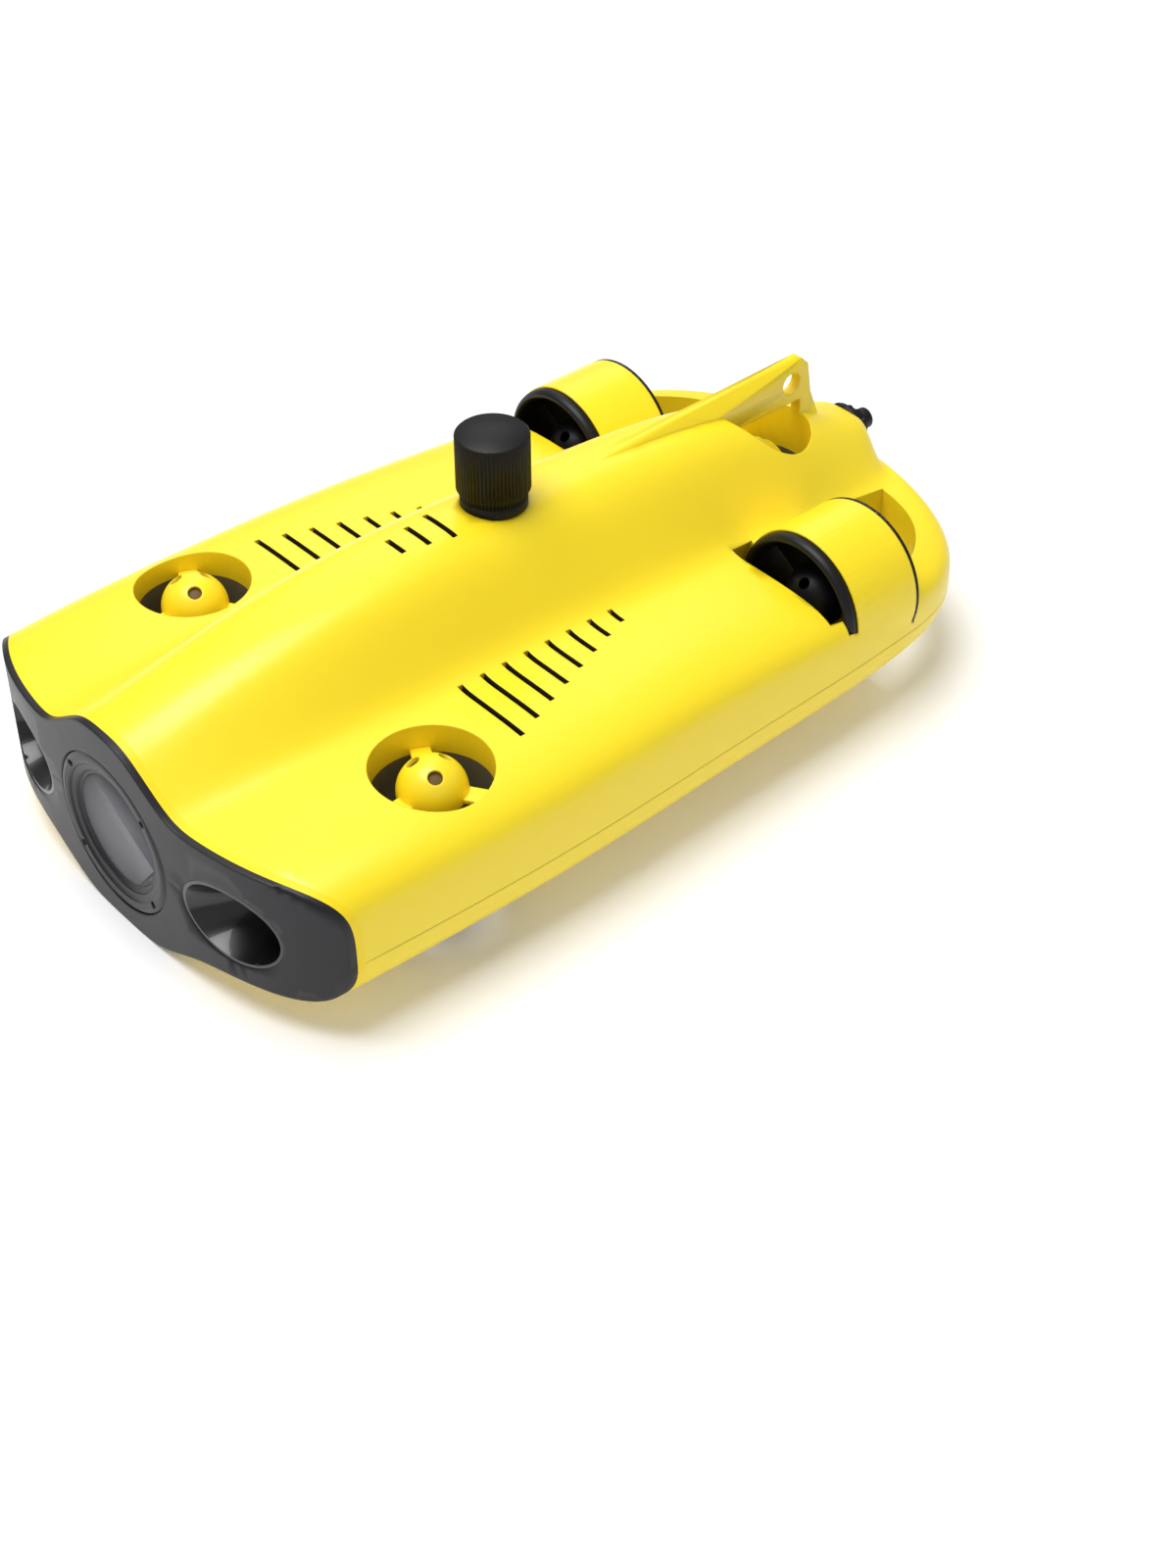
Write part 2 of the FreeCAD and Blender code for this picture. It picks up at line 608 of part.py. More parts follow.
def camera_bezel():
    """Stepped ring round the camera window."""
    r0, r1, d = WINDOW_RADIUS, BEZEL_RADIUS, BEZEL_DEPTH
    profile = [
        (r0 + FIT, WINDOW_SETBACK),
        (r0 + 1.4, WINDOW_SETBACK),
        (r0 + 2.2, 1.4),
        (r0 + 5.0, 0.9),
        (r0 + 5.6, 0.2),
        (r0 + 8.0, 0.0),
        (r1 - 1.0, 0.2),
        (r1, 1.0),
        (r1, d),
        (r0 + FIT, d),
    ]
    ring = revolve([(r, -y) for r, y in profile])
    ring.rotate(V(0, 0, 0), X, 90)
    ring.translate(V(0, 0, CAMERA_HEIGHT))
    notches = []
    for angle in (40, 140, 220, 320):
        notch = box(r0 + 6.0, r0 + 8.6, -1.0, 0.9, -1.3, 1.3)
        notch.rotate(V(0, 0, 0), Y, angle)
        notch.translate(V(0, 0, CAMERA_HEIGHT))
        notches.append(notch)
    return solid_of(ring.cut(notches))


def camera_window():
    return cylinder(WINDOW_RADIUS, WINDOW_THICKNESS, V(0, WINDOW_SETBACK, CAMERA_HEIGHT), Y)


def camera_module():
    """Lens barrel and housing between the window and the end cap of the tube."""
    back = TUBE_START - END_CAP_THICKNESS
    housing_y = back - CAMERA_HOUSING_LENGTH
    barrel_y = WINDOW_SETBACK + WINDOW_THICKNESS + FIT
    housing = cylinder(CAMERA_HOUSING_RADIUS, CAMERA_HOUSING_LENGTH,
                       V(0, housing_y, CAMERA_HEIGHT), Y)
    barrel = tube(CAMERA_BARREL_RADIUS, CAMERA_BARREL_RADIUS * 0.6, housing_y - barrel_y,
                  V(0, barrel_y, CAMERA_HEIGHT), Y)
    lens = cylinder(CAMERA_BARREL_RADIUS * 0.6, (housing_y - barrel_y) * 0.6,
                    V(0, housing_y - (housing_y - barrel_y) * 0.6, CAMERA_HEIGHT), Y)
    return solid_of(housing.fuse([barrel, lens]))


# ---------------------------------------------------------------- pressure hull
def pressure_tube():
    body = tube(TUBE_RADIUS, TUBE_RADIUS - TUBE_WALL, TUBE_END - TUBE_START,
                V(0, TUBE_START, TUBE_HEIGHT), Y)
    port = cylinder(PORT_BORE, TALL, V(0, PORT_SETBACK, TUBE_HEIGHT))
    return solid_of(body.cut(port))


def end_cap(y, inward):
    """Flanged plug of the tube, with a groove for its seal."""
    inner = TUBE_RADIUS - TUBE_WALL - RUNNING
    back = y - END_CAP_THICKNESS if inward > 0 else y
    plug_y = y if inward > 0 else y - END_CAP_PLUG
    groove_y = y + inward * END_CAP_PLUG / 2.0 - SEAL_WIDTH / 2.0
    flange = cylinder(TUBE_RADIUS, END_CAP_THICKNESS, V(0, back, TUBE_HEIGHT), Y)
    plug = cylinder(inner, END_CAP_PLUG, V(0, plug_y, TUBE_HEIGHT), Y)
    hollow = cylinder(inner - 5.0, END_CAP_PLUG, V(0, plug_y + inward * 3.0, TUBE_HEIGHT), Y)
    groove = tube(inner + 1, inner - 1.8, SEAL_WIDTH, V(0, groove_y, TUBE_HEIGHT), Y)
    return solid_of(flange.fuse(plug).cut([hollow, groove]))


def end_seal(y, inward):
    inner = TUBE_RADIUS - TUBE_WALL - RUNNING
    groove_y = y + inward * END_CAP_PLUG / 2.0 - SEAL_WIDTH / 2.0
    return tube(inner, inner - 1.8, SEAL_WIDTH, V(0, groove_y, TUBE_HEIGHT), Y)


def battery_pack():
    y = TUBE_END - END_CAP_PLUG - BATTERY_LENGTH - 2.0
    low = TUBE_HEIGHT - math.sqrt((TUBE_RADIUS - TUBE_WALL) ** 2 - (BATTERY_WIDTH / 2.0) ** 2) + FIT
    return box(-BATTERY_WIDTH / 2, BATTERY_WIDTH / 2, y, y + BATTERY_LENGTH,
               low, low + BATTERY_HEIGHT)


def control_board():
    y = TUBE_START + END_CAP_PLUG + FIT
    half = math.sqrt((TUBE_RADIUS - TUBE_WALL) ** 2 - BOARD_THICKNESS ** 2) - FIT
    return box(-half, half, y, y + BOARD_LENGTH, TUBE_HEIGHT - BOARD_THICKNESS,
               TUBE_HEIGHT)


# ---------------------------------------------------------------- thrusters
def guard_dome(strut_width, reach):
    """Hollow hub dome with a skirt, vents and three flat struts, inlet side up."""
    outer = Part.makeSphere(GUARD_RADIUS, V(0, 0, GUARD_RISE))
    inner_radius = GUARD_RADIUS - GUARD_WALL
    low = GUARD_RISE - GUARD_SKIRT
    keep = cylinder(2 * GUARD_RADIUS, 2 * GUARD_RADIUS, V(0, 0, GUARD_RISE))
    dome = outer.common(keep).fuse(cylinder(GUARD_RADIUS, GUARD_SKIRT, V(0, 0, low)))
    hollow = Part.makeSphere(inner_radius, V(0, 0, GUARD_RISE)).fuse(
        cylinder(inner_radius, GUARD_SKIRT, V(0, 0, low)))
    arms, vents = [], []
    for i in range(STRUT_COUNT):
        angle = STRUT_ANGLE + 360.0 * i / STRUT_COUNT
        arm = box(inner_radius, reach + 5, -strut_width / 2, strut_width / 2,
                  low + 0.8, low + 0.8 + STRUT_THICKNESS)
        arm.rotate(V(0, 0, 0), Z, angle)
        arms.append(arm)
        vent = cylinder(VENT_RADIUS, 3 * GUARD_RADIUS, V(0, 0, GUARD_RISE), X)
        vent.rotate(V(0, 0, GUARD_RISE), Y, -VENT_TILT)
        vent.rotate(V(0, 0, 0), Z, angle + 180.0)
        vents.append(vent)
    limit = cylinder(reach, TALL, V(0, 0, 0))
    body = dome.fuse([arm.common(limit) for arm in arms])
    return body.cut([hollow] + vents)


def nozzle():
    """Black liner of a nacelle: lip, tube, rear ring and the guarded hub in one moulding."""
    front = NOZZLE_PROP_SETBACK
    rear = NOZZLE_PROP_SETBACK - NACELLE_LENGTH
    r, t = NOZZLE_INNER, NOZZLE_OUTER - FIT
    profile = [
        (r, rear - RING_LENGTH),
        (NACELLE_RADIUS, rear - RING_LENGTH),
        (NACELLE_RADIUS, rear),
        (t, rear),
        (t, front),
        (LIP_RADIUS, front),
        (LIP_RADIUS, front + 0.45 * LIP_LENGTH),
        (LIP_RADIUS - 0.5, front + 0.8 * LIP_LENGTH),
        (LIP_RADIUS - 1.6, front + LIP_LENGTH),
        (r + 1.4, front + LIP_LENGTH),
        (r + 0.3, front + 0.75 * LIP_LENGTH),
        (r, front + 0.4 * LIP_LENGTH),
    ]
    shell = revolve(profile)
    hub = guard_dome(NOZZLE_STRUT_WIDTH, NOZZLE_INNER + 0.5)
    return solid_of(shell.fuse(hub))


def motor():
    """Stator on its base inside the dome, bored for the shaft."""
    low = GUARD_RISE - GUARD_SKIRT + FIT
    base = cylinder(GUARD_RADIUS - GUARD_WALL - RUNNING, MOTOR_BASE, V(0, 0, low))
    drum = cylinder(STATOR_RADIUS, STATOR_LENGTH, V(0, 0, low - STATOR_LENGTH))
    bore = cylinder(SHAFT_RADIUS + RUNNING, TALL, V(0, 0, -TALL / 2))
    return solid_of(base.fuse(drum).cut(bore))


def rotor():
    """Cup of the motor that turns with its shaft."""
    top = GUARD_RISE - GUARD_SKIRT + FIT - BELL_TOP_GAP
    cup = cylinder(BELL_RADIUS, top + BELL_DROP, V(0, 0, -BELL_DROP))
    hollow = cylinder(BELL_RADIUS - BELL_WALL, TALL, V(0, 0, BELL_FLOOR - BELL_DROP))
    shaft_top = GUARD_RISE - GUARD_SKIRT + FIT + MOTOR_BASE
    shaft = cylinder(SHAFT_RADIUS, shaft_top + BELL_DROP - 0.5, V(0, 0, -BELL_DROP))
    return solid_of(cup.cut(hollow).fuse(shaft))


def blade(tip):
    """Twisted blade, lofted through cambered sections from the hub to the tip."""
    root = BELL_RADIUS + PROP_HUB_WALL * 0.4
    sections = []
    count = 4
    for i in range(count):
        share = i / (count - 1.0)
        radius = root + (tip + 1.5 - root) * share
        pitch = math.radians(BLADE_PITCH_ROOT + (BLADE_PITCH_TIP - BLADE_PITCH_ROOT) * share)
        chord = BLADE_CHORD * (0.8 + 0.35 * math.sin(math.pi * share * 0.8))
        along = V(0, math.cos(pitch), math.sin(pitch)) * (chord / 2.0)
        across = V(0, -math.sin(pitch), math.cos(pitch)) * (BLADE_THICKNESS / 2.0)
        centre = V(radius, 0, 0)
        back = Part.Arc(centre - along, centre + across * 1.6, centre + along).toShape()
        face = Part.Arc(centre + along, centre - across * 0.4, centre - along).toShape()
        sections.append(Part.Wire([back, face]))
    return Part.makeLoft(sections, True, False)


def propeller(duct_radius):
    tip = duct_radius - BLADE_TIP_GAP
    ring_radius = BELL_RADIUS + PROP_HUB_WALL
    low = -PROP_HUB_LENGTH / 2.0 + 1.0
    ring = cylinder(ring_radius, PROP_HUB_LENGTH, V(0, 0, low))
    blank = blade(tip)
    blades = []
    for i in range(BLADE_COUNT):
        turned = blank.copy()
        turned.rotate(V(0, 0, 0), Z, 360.0 * i / BLADE_COUNT)
        blades.append(turned)
    limit = cylinder(tip, TALL, V(0, 0, -TALL / 2))
    bore = cylinder(BELL_RADIUS, TALL, V(0, 0, -TALL / 2))
    return solid_of(ring.fuse(blades).common(limit).cut(bore))


def outlet_guard():
    """Ring with a small hub and three thin arms below the propeller."""
    outer = DUCT_RADIUS - RUNNING
    rim = tube(outer, outer - OUTLET_RIM, OUTLET_DEPTH, V(0, 0, 0))
    hub = Part.makeCone(OUTLET_HUB_RADIUS * 0.55, OUTLET_HUB_RADIUS, OUTLET_DEPTH)
    arms = []
    for i in range(STRUT_COUNT):
        arm = box(0, outer - OUTLET_RIM / 2, -OUTLET_STRUT_WIDTH / 2, OUTLET_STRUT_WIDTH / 2,
                  0, OUTLET_DEPTH)
        arm.rotate(V(0, 0, 0), Z, STRUT_ANGLE + 60.0 + 360.0 * i / STRUT_COUNT)
        arms.append(arm)
    return solid_of(rim.fuse([hub] + arms))


# ---------------------------------------------------------------- service port
def ribbed_disc(radius, length, z):
    """Cylinder with fine grooves along its side."""
    points = []
    steps = CAP_RIBS * 4
    for i in range(steps):
        r = radius - (RIB_DEPTH if i % 4 in (2, 3) else 0.0)
        a = 2.0 * math.pi * i / steps
        points.append(V(r * math.cos(a), r * math.sin(a), z))
    wire = Part.makePolygon(points + points[:1])
    return Part.Face(wire).extrude(V(0, 0, length))


def service_neck():
    """Threaded neck of the port, seated on the pressure tube and through the shell."""
    stem = cylinder(NECK_STEM_RADIUS, NECK_SEAT - TUBE_HEIGHT + 1, V(0, 0, TUBE_HEIGHT))
    collar = cylinder(NECK_RADIUS, NECK_BAND, V(0, 0, NECK_SEAT))
    spigot = cylinder(SPIGOT_RADIUS, SPIGOT_LENGTH, V(0, 0, NECK_TOP))
    bore = cylinder(PORT_BORE, TALL, V(0, 0, 0))
    body = stem.fuse([collar, spigot]).cut(bore)
    seat = cylinder(TUBE_RADIUS, TALL, V(0, -TALL / 2, TUBE_HEIGHT), Y)
    return solid_of(body.cut(seat))


def service_gasket():
    return cylinder(SPIGOT_RADIUS - FIT, GASKET_THICKNESS, V(0, 0, NECK_TOP + SPIGOT_LENGTH))


def service_cap():
    """Ribbed screw cap over the neck."""
    low = NECK_TOP + CAP_GAP
    skirt = ribbed_disc(NECK_RADIUS, CAP_SKIRT, low)
    body = ribbed_disc(CAP_RADIUS, CAP_LENGTH, low + CAP_SKIRT)
    top = low + CAP_SKIRT + CAP_LENGTH
    ceiling = NECK_TOP + SPIGOT_LENGTH + GASKET_THICKNESS
    socket = cylinder(SPIGOT_RADIUS + FIT, ceiling - low + 1, V(0, 0, low - 1))
    crown = Part.makeCone(CAP_RADIUS + 3.0, CAP_RADIUS - CAP_CHAMFER, 3.0 + CAP_CHAMFER,
                          V(0, 0, top - 3.0 - CAP_CHAMFER))
    column = cylinder(CAP_RADIUS + 3.0, top - 3.0 - CAP_CHAMFER - low + 1, V(0, 0, low - 1))
    return solid_of(skirt.fuse(body).common(crown.fuse(column)).cut(socket))


# ---------------------------------------------------------------- tether connector
def tether_bulkhead():
    y0 = TETHER_SEAT_Y
    base = V(0, y0 - TETHER_SHANK_LENGTH, TETHER_HEIGHT)
    shank = cylinder(TETHER_SHANK_RADIUS, TETHER_SHANK_LENGTH, base, Y)
    flange = cylinder(TETHER_FLANGE_RADIUS, TETHER_FLANGE_THICKNESS, V(0, y0, TETHER_HEIGHT), Y)
    ring_y = y0 + TETHER_FLANGE_THICKNESS
    ring_end = ring_y + TETHER_RING_LENGTH + 2 * FIT
    groove = cylinder(TETHER_GROOVE_RADIUS, ring_end - ring_y, V(0, ring_y, TETHER_HEIGHT), Y)
    return solid_of(shank.fuse([flange, groove]))


def tether_plug():
    """Round end of the connector with its keyed recess."""
    ring_end = TETHER_SEAT_Y + TETHER_FLANGE_THICKNESS + TETHER_RING_LENGTH + 2 * FIT
    length = OVERALL_LENGTH - ring_end
    body = cylinder(TETHER_CORE_RADIUS, length, V(0, ring_end, TETHER_HEIGHT), Y)
    recess = tube(TETHER_CORE_RADIUS - 0.8, TETHER_CORE_RADIUS - 1.8, 1.0,
                  V(0, OVERALL_LENGTH - 1.0, TETHER_HEIGHT), Y)
    return solid_of(body.cut(recess))


def tether_lock_ring():
    """Lobed ring that turns in the groove behind the plug."""
    y0 = TETHER_SEAT_Y + TETHER_FLANGE_THICKNESS + FIT
    body = cylinder(TETHER_RING_RADIUS, TETHER_RING_LENGTH, V(0, y0, TETHER_HEIGHT), Y)
    cuts = [cylinder(TETHER_GROOVE_RADIUS + RUNNING, TALL, V(0, 0, TETHER_HEIGHT), Y)]
    for i in range(TETHER_RING_LOBES):
        angle = 2.0 * math.pi * (i + 0.5) / TETHER_RING_LOBES
        reach = TETHER_RING_RADIUS + 1.6
        cuts.append(cylinder(2.6, TALL, V(reach * math.cos(angle), 0,
                                          TETHER_HEIGHT + reach * math.sin(angle)), Y))
    return solid_of(body.cut(cuts))


def accessory_insert():
    return tube(INSERT_RADIUS, INSERT_BORE, INSERT_LENGTH, V(0, INSERT_SETBACK, 0))


# ---------------------------------------------------------------- assembly
def save_thruster(tag, put, duct_radius):
    save("motor_" + tag, put(motor()))
    save("rotor_" + tag, put(rotor()))
    save("propeller_" + tag, put(propeller(duct_radius)))


def save_upright(tag, x, y):
    def put(shape):
        return place(shape, x, y, UPRIGHT_PROP_HEIGHT)
    save("hub_guard_" + tag, put(solid_of(guard_dome(STRUT_WIDTH, DUCT_RADIUS - RUNNING))))
    save("outlet_guard_" + tag, place(outlet_guard(), x, y, OUTLET_GUARD_HEIGHT))
    save_thruster(tag, put, DUCT_RADIUS)


def save_nacelle(tag, x):
    def put(shape):
        return lay_down(shape, x, NOZZLE_PROP_Y, NACELLE_HEIGHT)
    save("nozzle_" + tag, put(nozzle()))
    save_thruster(tag, put, NOZZLE_INNER)


def main():
    upper, lower, blanks = shells()
    save("upper_shell", upper_shell(upper))
    save("lower_shell", lower_shell(lower))
    save("front_fascia", front_fascia(blanks))
    save("camera_bezel", camera_bezel())
    save("camera_window", camera_window())
    save("camera_module", camera_module())
    for piece in (light_reflector, light_lens, light_emitter):
        save(piece.__name__ + "_port", piece())
        save(piece.__name__ + "_starboard", mirror_x(piece()))
    save("pressure_tube", pressure_tube())
    for tag, y, inward in (("front", TUBE_START, 1), ("rear", TUBE_END, -1)):
        save("end_cap_" + tag, end_cap(y, inward))
        save("end_seal_" + tag, end_seal(y, inward))
    save("battery_pack", battery_pack())
    save("control_board", control_board())
    save("ballast_port", ballast_bar(1))
    save("ballast_starboard", ballast_bar(-1))
    tags = ("front_port", "front_starboard", "rear_upright")
    for tag, (x, y) in zip(tags, duct_places()):
        save_upright(tag, x, y)
    save_nacelle("rear_port", NACELLE_OFFSET)
    save_nacelle("rear_starboard", -NACELLE_OFFSET)
    for piece in (service_neck, service_gasket, service_cap):
        save(piece.__name__, place(piece(), 0, PORT_SETBACK, 0))
    for piece in (tether_bulkhead, tether_plug, tether_lock_ring, accessory_insert):
        save(piece.__name__, piece())


main()
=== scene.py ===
# %% [markdown]
# # Dressing an underwater inspection craft
# The craft is a moulded yellow hull with a charcoal nose, five ducted thrusters and a black
# screw cap. Its solids come finished in shape from the CAD model, so this lesson is mostly
# about surfaces: how a satin moulding, a grained nose panel, machined metal and rubber are
# told apart by small changes of colour, gloss and relief. We start by loading the solids as
# a fixed frame and by keeping the size of the whole craft, which must not change.

# %% Load the frame
import json
import math

import bmesh
import bpy
import numpy as np
from mathutils import Matrix, Vector

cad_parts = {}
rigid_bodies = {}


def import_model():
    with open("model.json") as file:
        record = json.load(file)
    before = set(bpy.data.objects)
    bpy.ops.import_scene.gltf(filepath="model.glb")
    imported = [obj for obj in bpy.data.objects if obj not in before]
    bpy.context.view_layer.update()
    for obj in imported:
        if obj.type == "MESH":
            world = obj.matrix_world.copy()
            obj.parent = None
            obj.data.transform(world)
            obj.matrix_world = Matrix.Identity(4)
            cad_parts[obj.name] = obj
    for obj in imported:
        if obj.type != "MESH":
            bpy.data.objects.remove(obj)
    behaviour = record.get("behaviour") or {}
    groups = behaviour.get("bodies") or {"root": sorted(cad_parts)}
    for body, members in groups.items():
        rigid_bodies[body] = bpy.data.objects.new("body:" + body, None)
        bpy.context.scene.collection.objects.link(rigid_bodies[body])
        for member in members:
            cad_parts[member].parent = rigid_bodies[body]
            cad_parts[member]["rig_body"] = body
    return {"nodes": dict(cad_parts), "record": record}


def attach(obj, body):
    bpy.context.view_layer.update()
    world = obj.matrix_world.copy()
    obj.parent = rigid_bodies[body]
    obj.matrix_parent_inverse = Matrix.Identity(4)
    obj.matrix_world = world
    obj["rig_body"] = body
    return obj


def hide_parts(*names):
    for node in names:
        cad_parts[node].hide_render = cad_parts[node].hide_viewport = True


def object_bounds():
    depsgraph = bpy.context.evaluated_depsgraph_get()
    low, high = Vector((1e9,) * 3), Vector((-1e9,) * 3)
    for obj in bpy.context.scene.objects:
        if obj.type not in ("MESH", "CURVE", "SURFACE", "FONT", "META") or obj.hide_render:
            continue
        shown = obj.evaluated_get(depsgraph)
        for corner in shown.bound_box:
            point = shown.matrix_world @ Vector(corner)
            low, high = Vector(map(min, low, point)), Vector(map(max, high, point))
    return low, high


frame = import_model()
nodes = frame["nodes"]
cad_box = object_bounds()
low, high = (np.array(corner) for corner in cad_box)
print("craft, mm:", np.round((high - low) * 1000, 1))

# %% [markdown]
# ## Camera
# The view is from the port bow, forty degrees above the horizon. Azimuth and elevation turn
# the direction from the target to the camera, and the lens is a short telephoto, which keeps
# the hull's long lines nearly parallel. The target lies below the floor because the craft
# sits in the upper half of the frame.

# %% Camera
AZIMUTH, ELEVATION = math.radians(48.571), math.radians(40.12)
DISTANCE = 1.088
TARGET = Vector((0.0, 0.0344, -0.0636))
away = Vector((
    math.sin(AZIMUTH) * math.cos(ELEVATION),
    -math.cos(AZIMUTH) * math.cos(ELEVATION),
    math.sin(ELEVATION),
))
camera_data = bpy.data.cameras.new("camera")
camera_data.lens = 56.47
camera_data.clip_start = 0.05
camera = bpy.data.objects.new("camera", camera_data)
camera.location = TARGET + away * DISTANCE
camera.rotation_euler = (-away).to_track_quat("-Z", "Y").to_euler()
bpy.context.scene.collection.objects.link(camera)
bpy.context.scene.camera = camera
print("camera at", [round(v, 3) for v in camera.location])

# %% [markdown]
# ## A small language for shaders
# A shader is arithmetic on values that change over the surface, and it reads best as
# arithmetic. `Value` wraps one output socket and overloads the operators, so `1 - mask * 0.5`
# adds the Math nodes by itself. Soft steps and bands are built from the same operators.

# %% Values
class Value:
    """One number that changes over the surface; operators add Math nodes."""

    def __init__(self, shader, socket):
        self.shader, self.socket = shader, socket

    def math(self, operation, *others):
        """A Math node on this value and the others."""
        inputs = {0: self.socket}
        inputs.update({i + 1: other for i, other in enumerate(others)})
        return self.shader.value("ShaderNodeMath", inputs, operation=operation)

    def __add__(self, other):
        return self.math("ADD", other)

    def __mul__(self, other):
        return self.math("MULTIPLY", other)

    def __sub__(self, other):
        return self.math("SUBTRACT", other)

    def __rsub__(self, other):
        return (self * -1.0) + other

    def __pow__(self, other):
        return self.math("POWER", other)

    __radd__, __rmul__ = __add__, __mul__

    def clamp(self):
        """Cut off below 0 and above 1."""
        return self.math("MAXIMUM", 0.0).math("MINIMUM", 1.0)

    def above(self, edge, blur):
        """0 below an edge and 1 above it, with a soft step between."""
        return ((self - edge) * (1.0 / blur) + 0.5).clamp()

    def near(self, middle, half, blur):
        """1 where the value lies within half a width of the middle."""
        return 1.0 - (self - middle).math("ABSOLUTE").above(half, blur)


print("methods of a value:", [name for name in vars(Value) if not name.startswith("__")])

# %% [markdown]
# ## One builder for all materials
# `Shader` makes every node with one method that takes the node's type, its inputs and its
# settings. A material is then a few named values, each fed to a socket of the Principled
# shader. Sizes are given in millimetres, because finishes are measured in them.

# %% Shader builder
class Shader:
    """Builds one material around a Principled shader."""

    def __init__(self, name, **settings):
        self.material = bpy.data.materials.new(name)
        self.material.use_nodes = True
        self.tree = self.material.node_tree
        self.surface = self.tree.nodes["Principled BSDF"]
        for socket, number in settings.items():
            self.surface.inputs[socket.replace("_", " ")].default_value = number

    def node(self, kind, inputs=None, **settings):
        """Adds a node: its settings first, then the values or links of its sockets."""
        made = self.tree.nodes.new(kind)
        for key, setting in settings.items():
            setattr(made, key, setting)
        for key, given in (inputs or {}).items():
            given = given.socket if isinstance(given, Value) else given
            if isinstance(given, bpy.types.NodeSocket):
                self.tree.links.new(given, made.inputs[key])
            else:
                made.inputs[key].default_value = given
        return made

    def value(self, kind, inputs=None, **settings):
        """The first output of a new node, as a value."""
        return Value(self, self.node(kind, inputs, **settings).outputs[0])

    def place(self):
        """Object coordinates, which for every piece here are the craft's own metres."""
        return self.node("ShaderNodeTexCoord").outputs["Object"]

    def coordinates(self):
        """The craft's x, y and z of the shaded point, in millimetres."""
        split = self.node("ShaderNodeSeparateXYZ", {0: self.place()})
        return [Value(self, socket) * 1000.0 for socket in split.outputs]

    def noise(self, size_mm, detail=2.0, stretch=(1, 1, 1)):
        """Smooth noise with features of about the given size, from 0 to 1."""
        point = self.node("ShaderNodeMapping", {"Vector": self.place(), "Scale": stretch})
        return self.value("ShaderNodeTexNoise", {
            "Vector": point.outputs[0], "Scale": 1000.0 / size_mm, "Detail": detail,
        })

    def mix(self, factor, first, second):
        """First colour where the factor is 0, second where it is 1."""
        inputs = {0: factor, 6: first, 7: second}      # the colour sockets of a Mix node
        return self.node("ShaderNodeMix", inputs, data_type="RGBA").outputs[2]

    def feed(self, socket, given):
        """Links a value or a colour to the Principled shader."""
        given = given.socket if isinstance(given, Value) else given
        self.tree.links.new(given, self.surface.inputs[socket])

    def relief(self, height, depth_mm, rounding_mm=0.0):
        """Bump whose height runs from 0 to 1 over a depth; sharp edges may look rounded."""
        inputs = {"Height": height, "Distance": depth_mm / 1000.0}
        if rounding_mm:
            inputs["Normal"] = self.node(
                "ShaderNodeBevel", {"Radius": rounding_mm * 0.001}, samples=6).outputs[0]
        self.feed("Normal", self.node("ShaderNodeBump", inputs).outputs[0])


def colour(red, green, blue):
    """Linear colour of a swatch given in display values: a line in the darkest part, and
    above it a power of 2.4."""
    display = np.array([red, green, blue]) / 255.0
    linear = np.where(display > 0.04045, ((display + 0.055) / 1.055) ** 2.4, display / 12.92)
    return (*(float(v) for v in linear), 1.0)


print("middle grey, linear:", round(colour(128, 128, 128)[0], 3))

# %% [markdown]
# ## Where things lie on the hull
# Several finishes change at a place: the seam between the shells, the darker lower part of the
# upright ducts, and the narrow charcoal edge of the nose. These places are plain sizes of the
# craft, in millimetres from the nose tip and from the floor, so one cell holds them. The front
# face is bowed in plan, by a term that grows with the square of the distance from the middle
# plane and one that grows with its fourth power.

# %% Places on the hull
HALF_LENGTH = 198.5                     # from the nose tip to the origin
DUCTS = ((75.5, 91.0), (-75.5, 91.0), (0.0, 328.0))    # upright ducts: x, and y from the nose
DUCT_WALL = 23.3                        # radius of their bore
DUCT_DARK_TOP = 59.4                        # the ducts are dark below the struts
SEAM = 36.0                             # height of the joint between the shells
NOSE_BOW, NOSE_SWEEP, HALF_WIDTH = 5.3, 23.1, 112.5
PANEL_DEPTH, JOINT = 6.0, 0.2           # of the nose panel, and its gap to the shells
PANEL_RIM = 2.8                         # depth of its charcoal edge behind the front face
JOINT_REACH = 9.0                       # no rounded look on the painted joint, up to here


def radius(x, y, middle_x, middle_y):
    """Distance from an axis: the root of the sum of both squared offsets."""
    return ((x - middle_x) ** 2.0 + (y - middle_y) ** 2.0) ** 0.5


def behind_nose(x, y):
    """Distance behind the bowed front face, for shader values and for arrays."""
    share = (x * (1.0 / HALF_WIDTH)) ** 2.0
    return y + HALF_LENGTH - share * NOSE_BOW - share * share * NOSE_SWEEP


print("bow of the nose at its corners, mm:", round(NOSE_BOW + NOSE_SWEEP, 1))

# %% [markdown]
# ## The yellow moulding
# The hull is painted ABS: one strong colour, a satin coat, and a very fine texture from the
# tool that only shows where the light grazes. Moulded rims are never knife sharp, so a Bevel
# node bends the shading over each sharp edge. A real fillet would need far more triangles on
# the wavy shells. The seam is a thin darker line, and the ducts turn dark below the struts.

# %% Hull yellow
PAINT, PAINT_DEEP = colour(253, 222, 30), colour(255, 229, 34)
SEAM_SHADE, DUCT_SHADE = colour(92, 78, 20), colour(112, 104, 80)
SEAM_HALF, SEAM_BLUR, SEAM_STRENGTH = 0.16, 0.12, 0.55
DUCT_MARGIN, DUCT_BLUR, DUCT_DARK_BLUR = 0.12, 0.1, 0.3
HULL_ROUNDING = 1.0


def inside_ducts(shader, x, y):
    """1 on and inside the bores of the three upright ducts."""
    bores = 0.0
    for middle_x, from_nose in DUCTS:
        across = radius(x, y, middle_x, from_nose - HALF_LENGTH)
        bores = (1.0 - across.above(DUCT_WALL + DUCT_MARGIN, DUCT_BLUR)) + bores
    return bores.clamp()


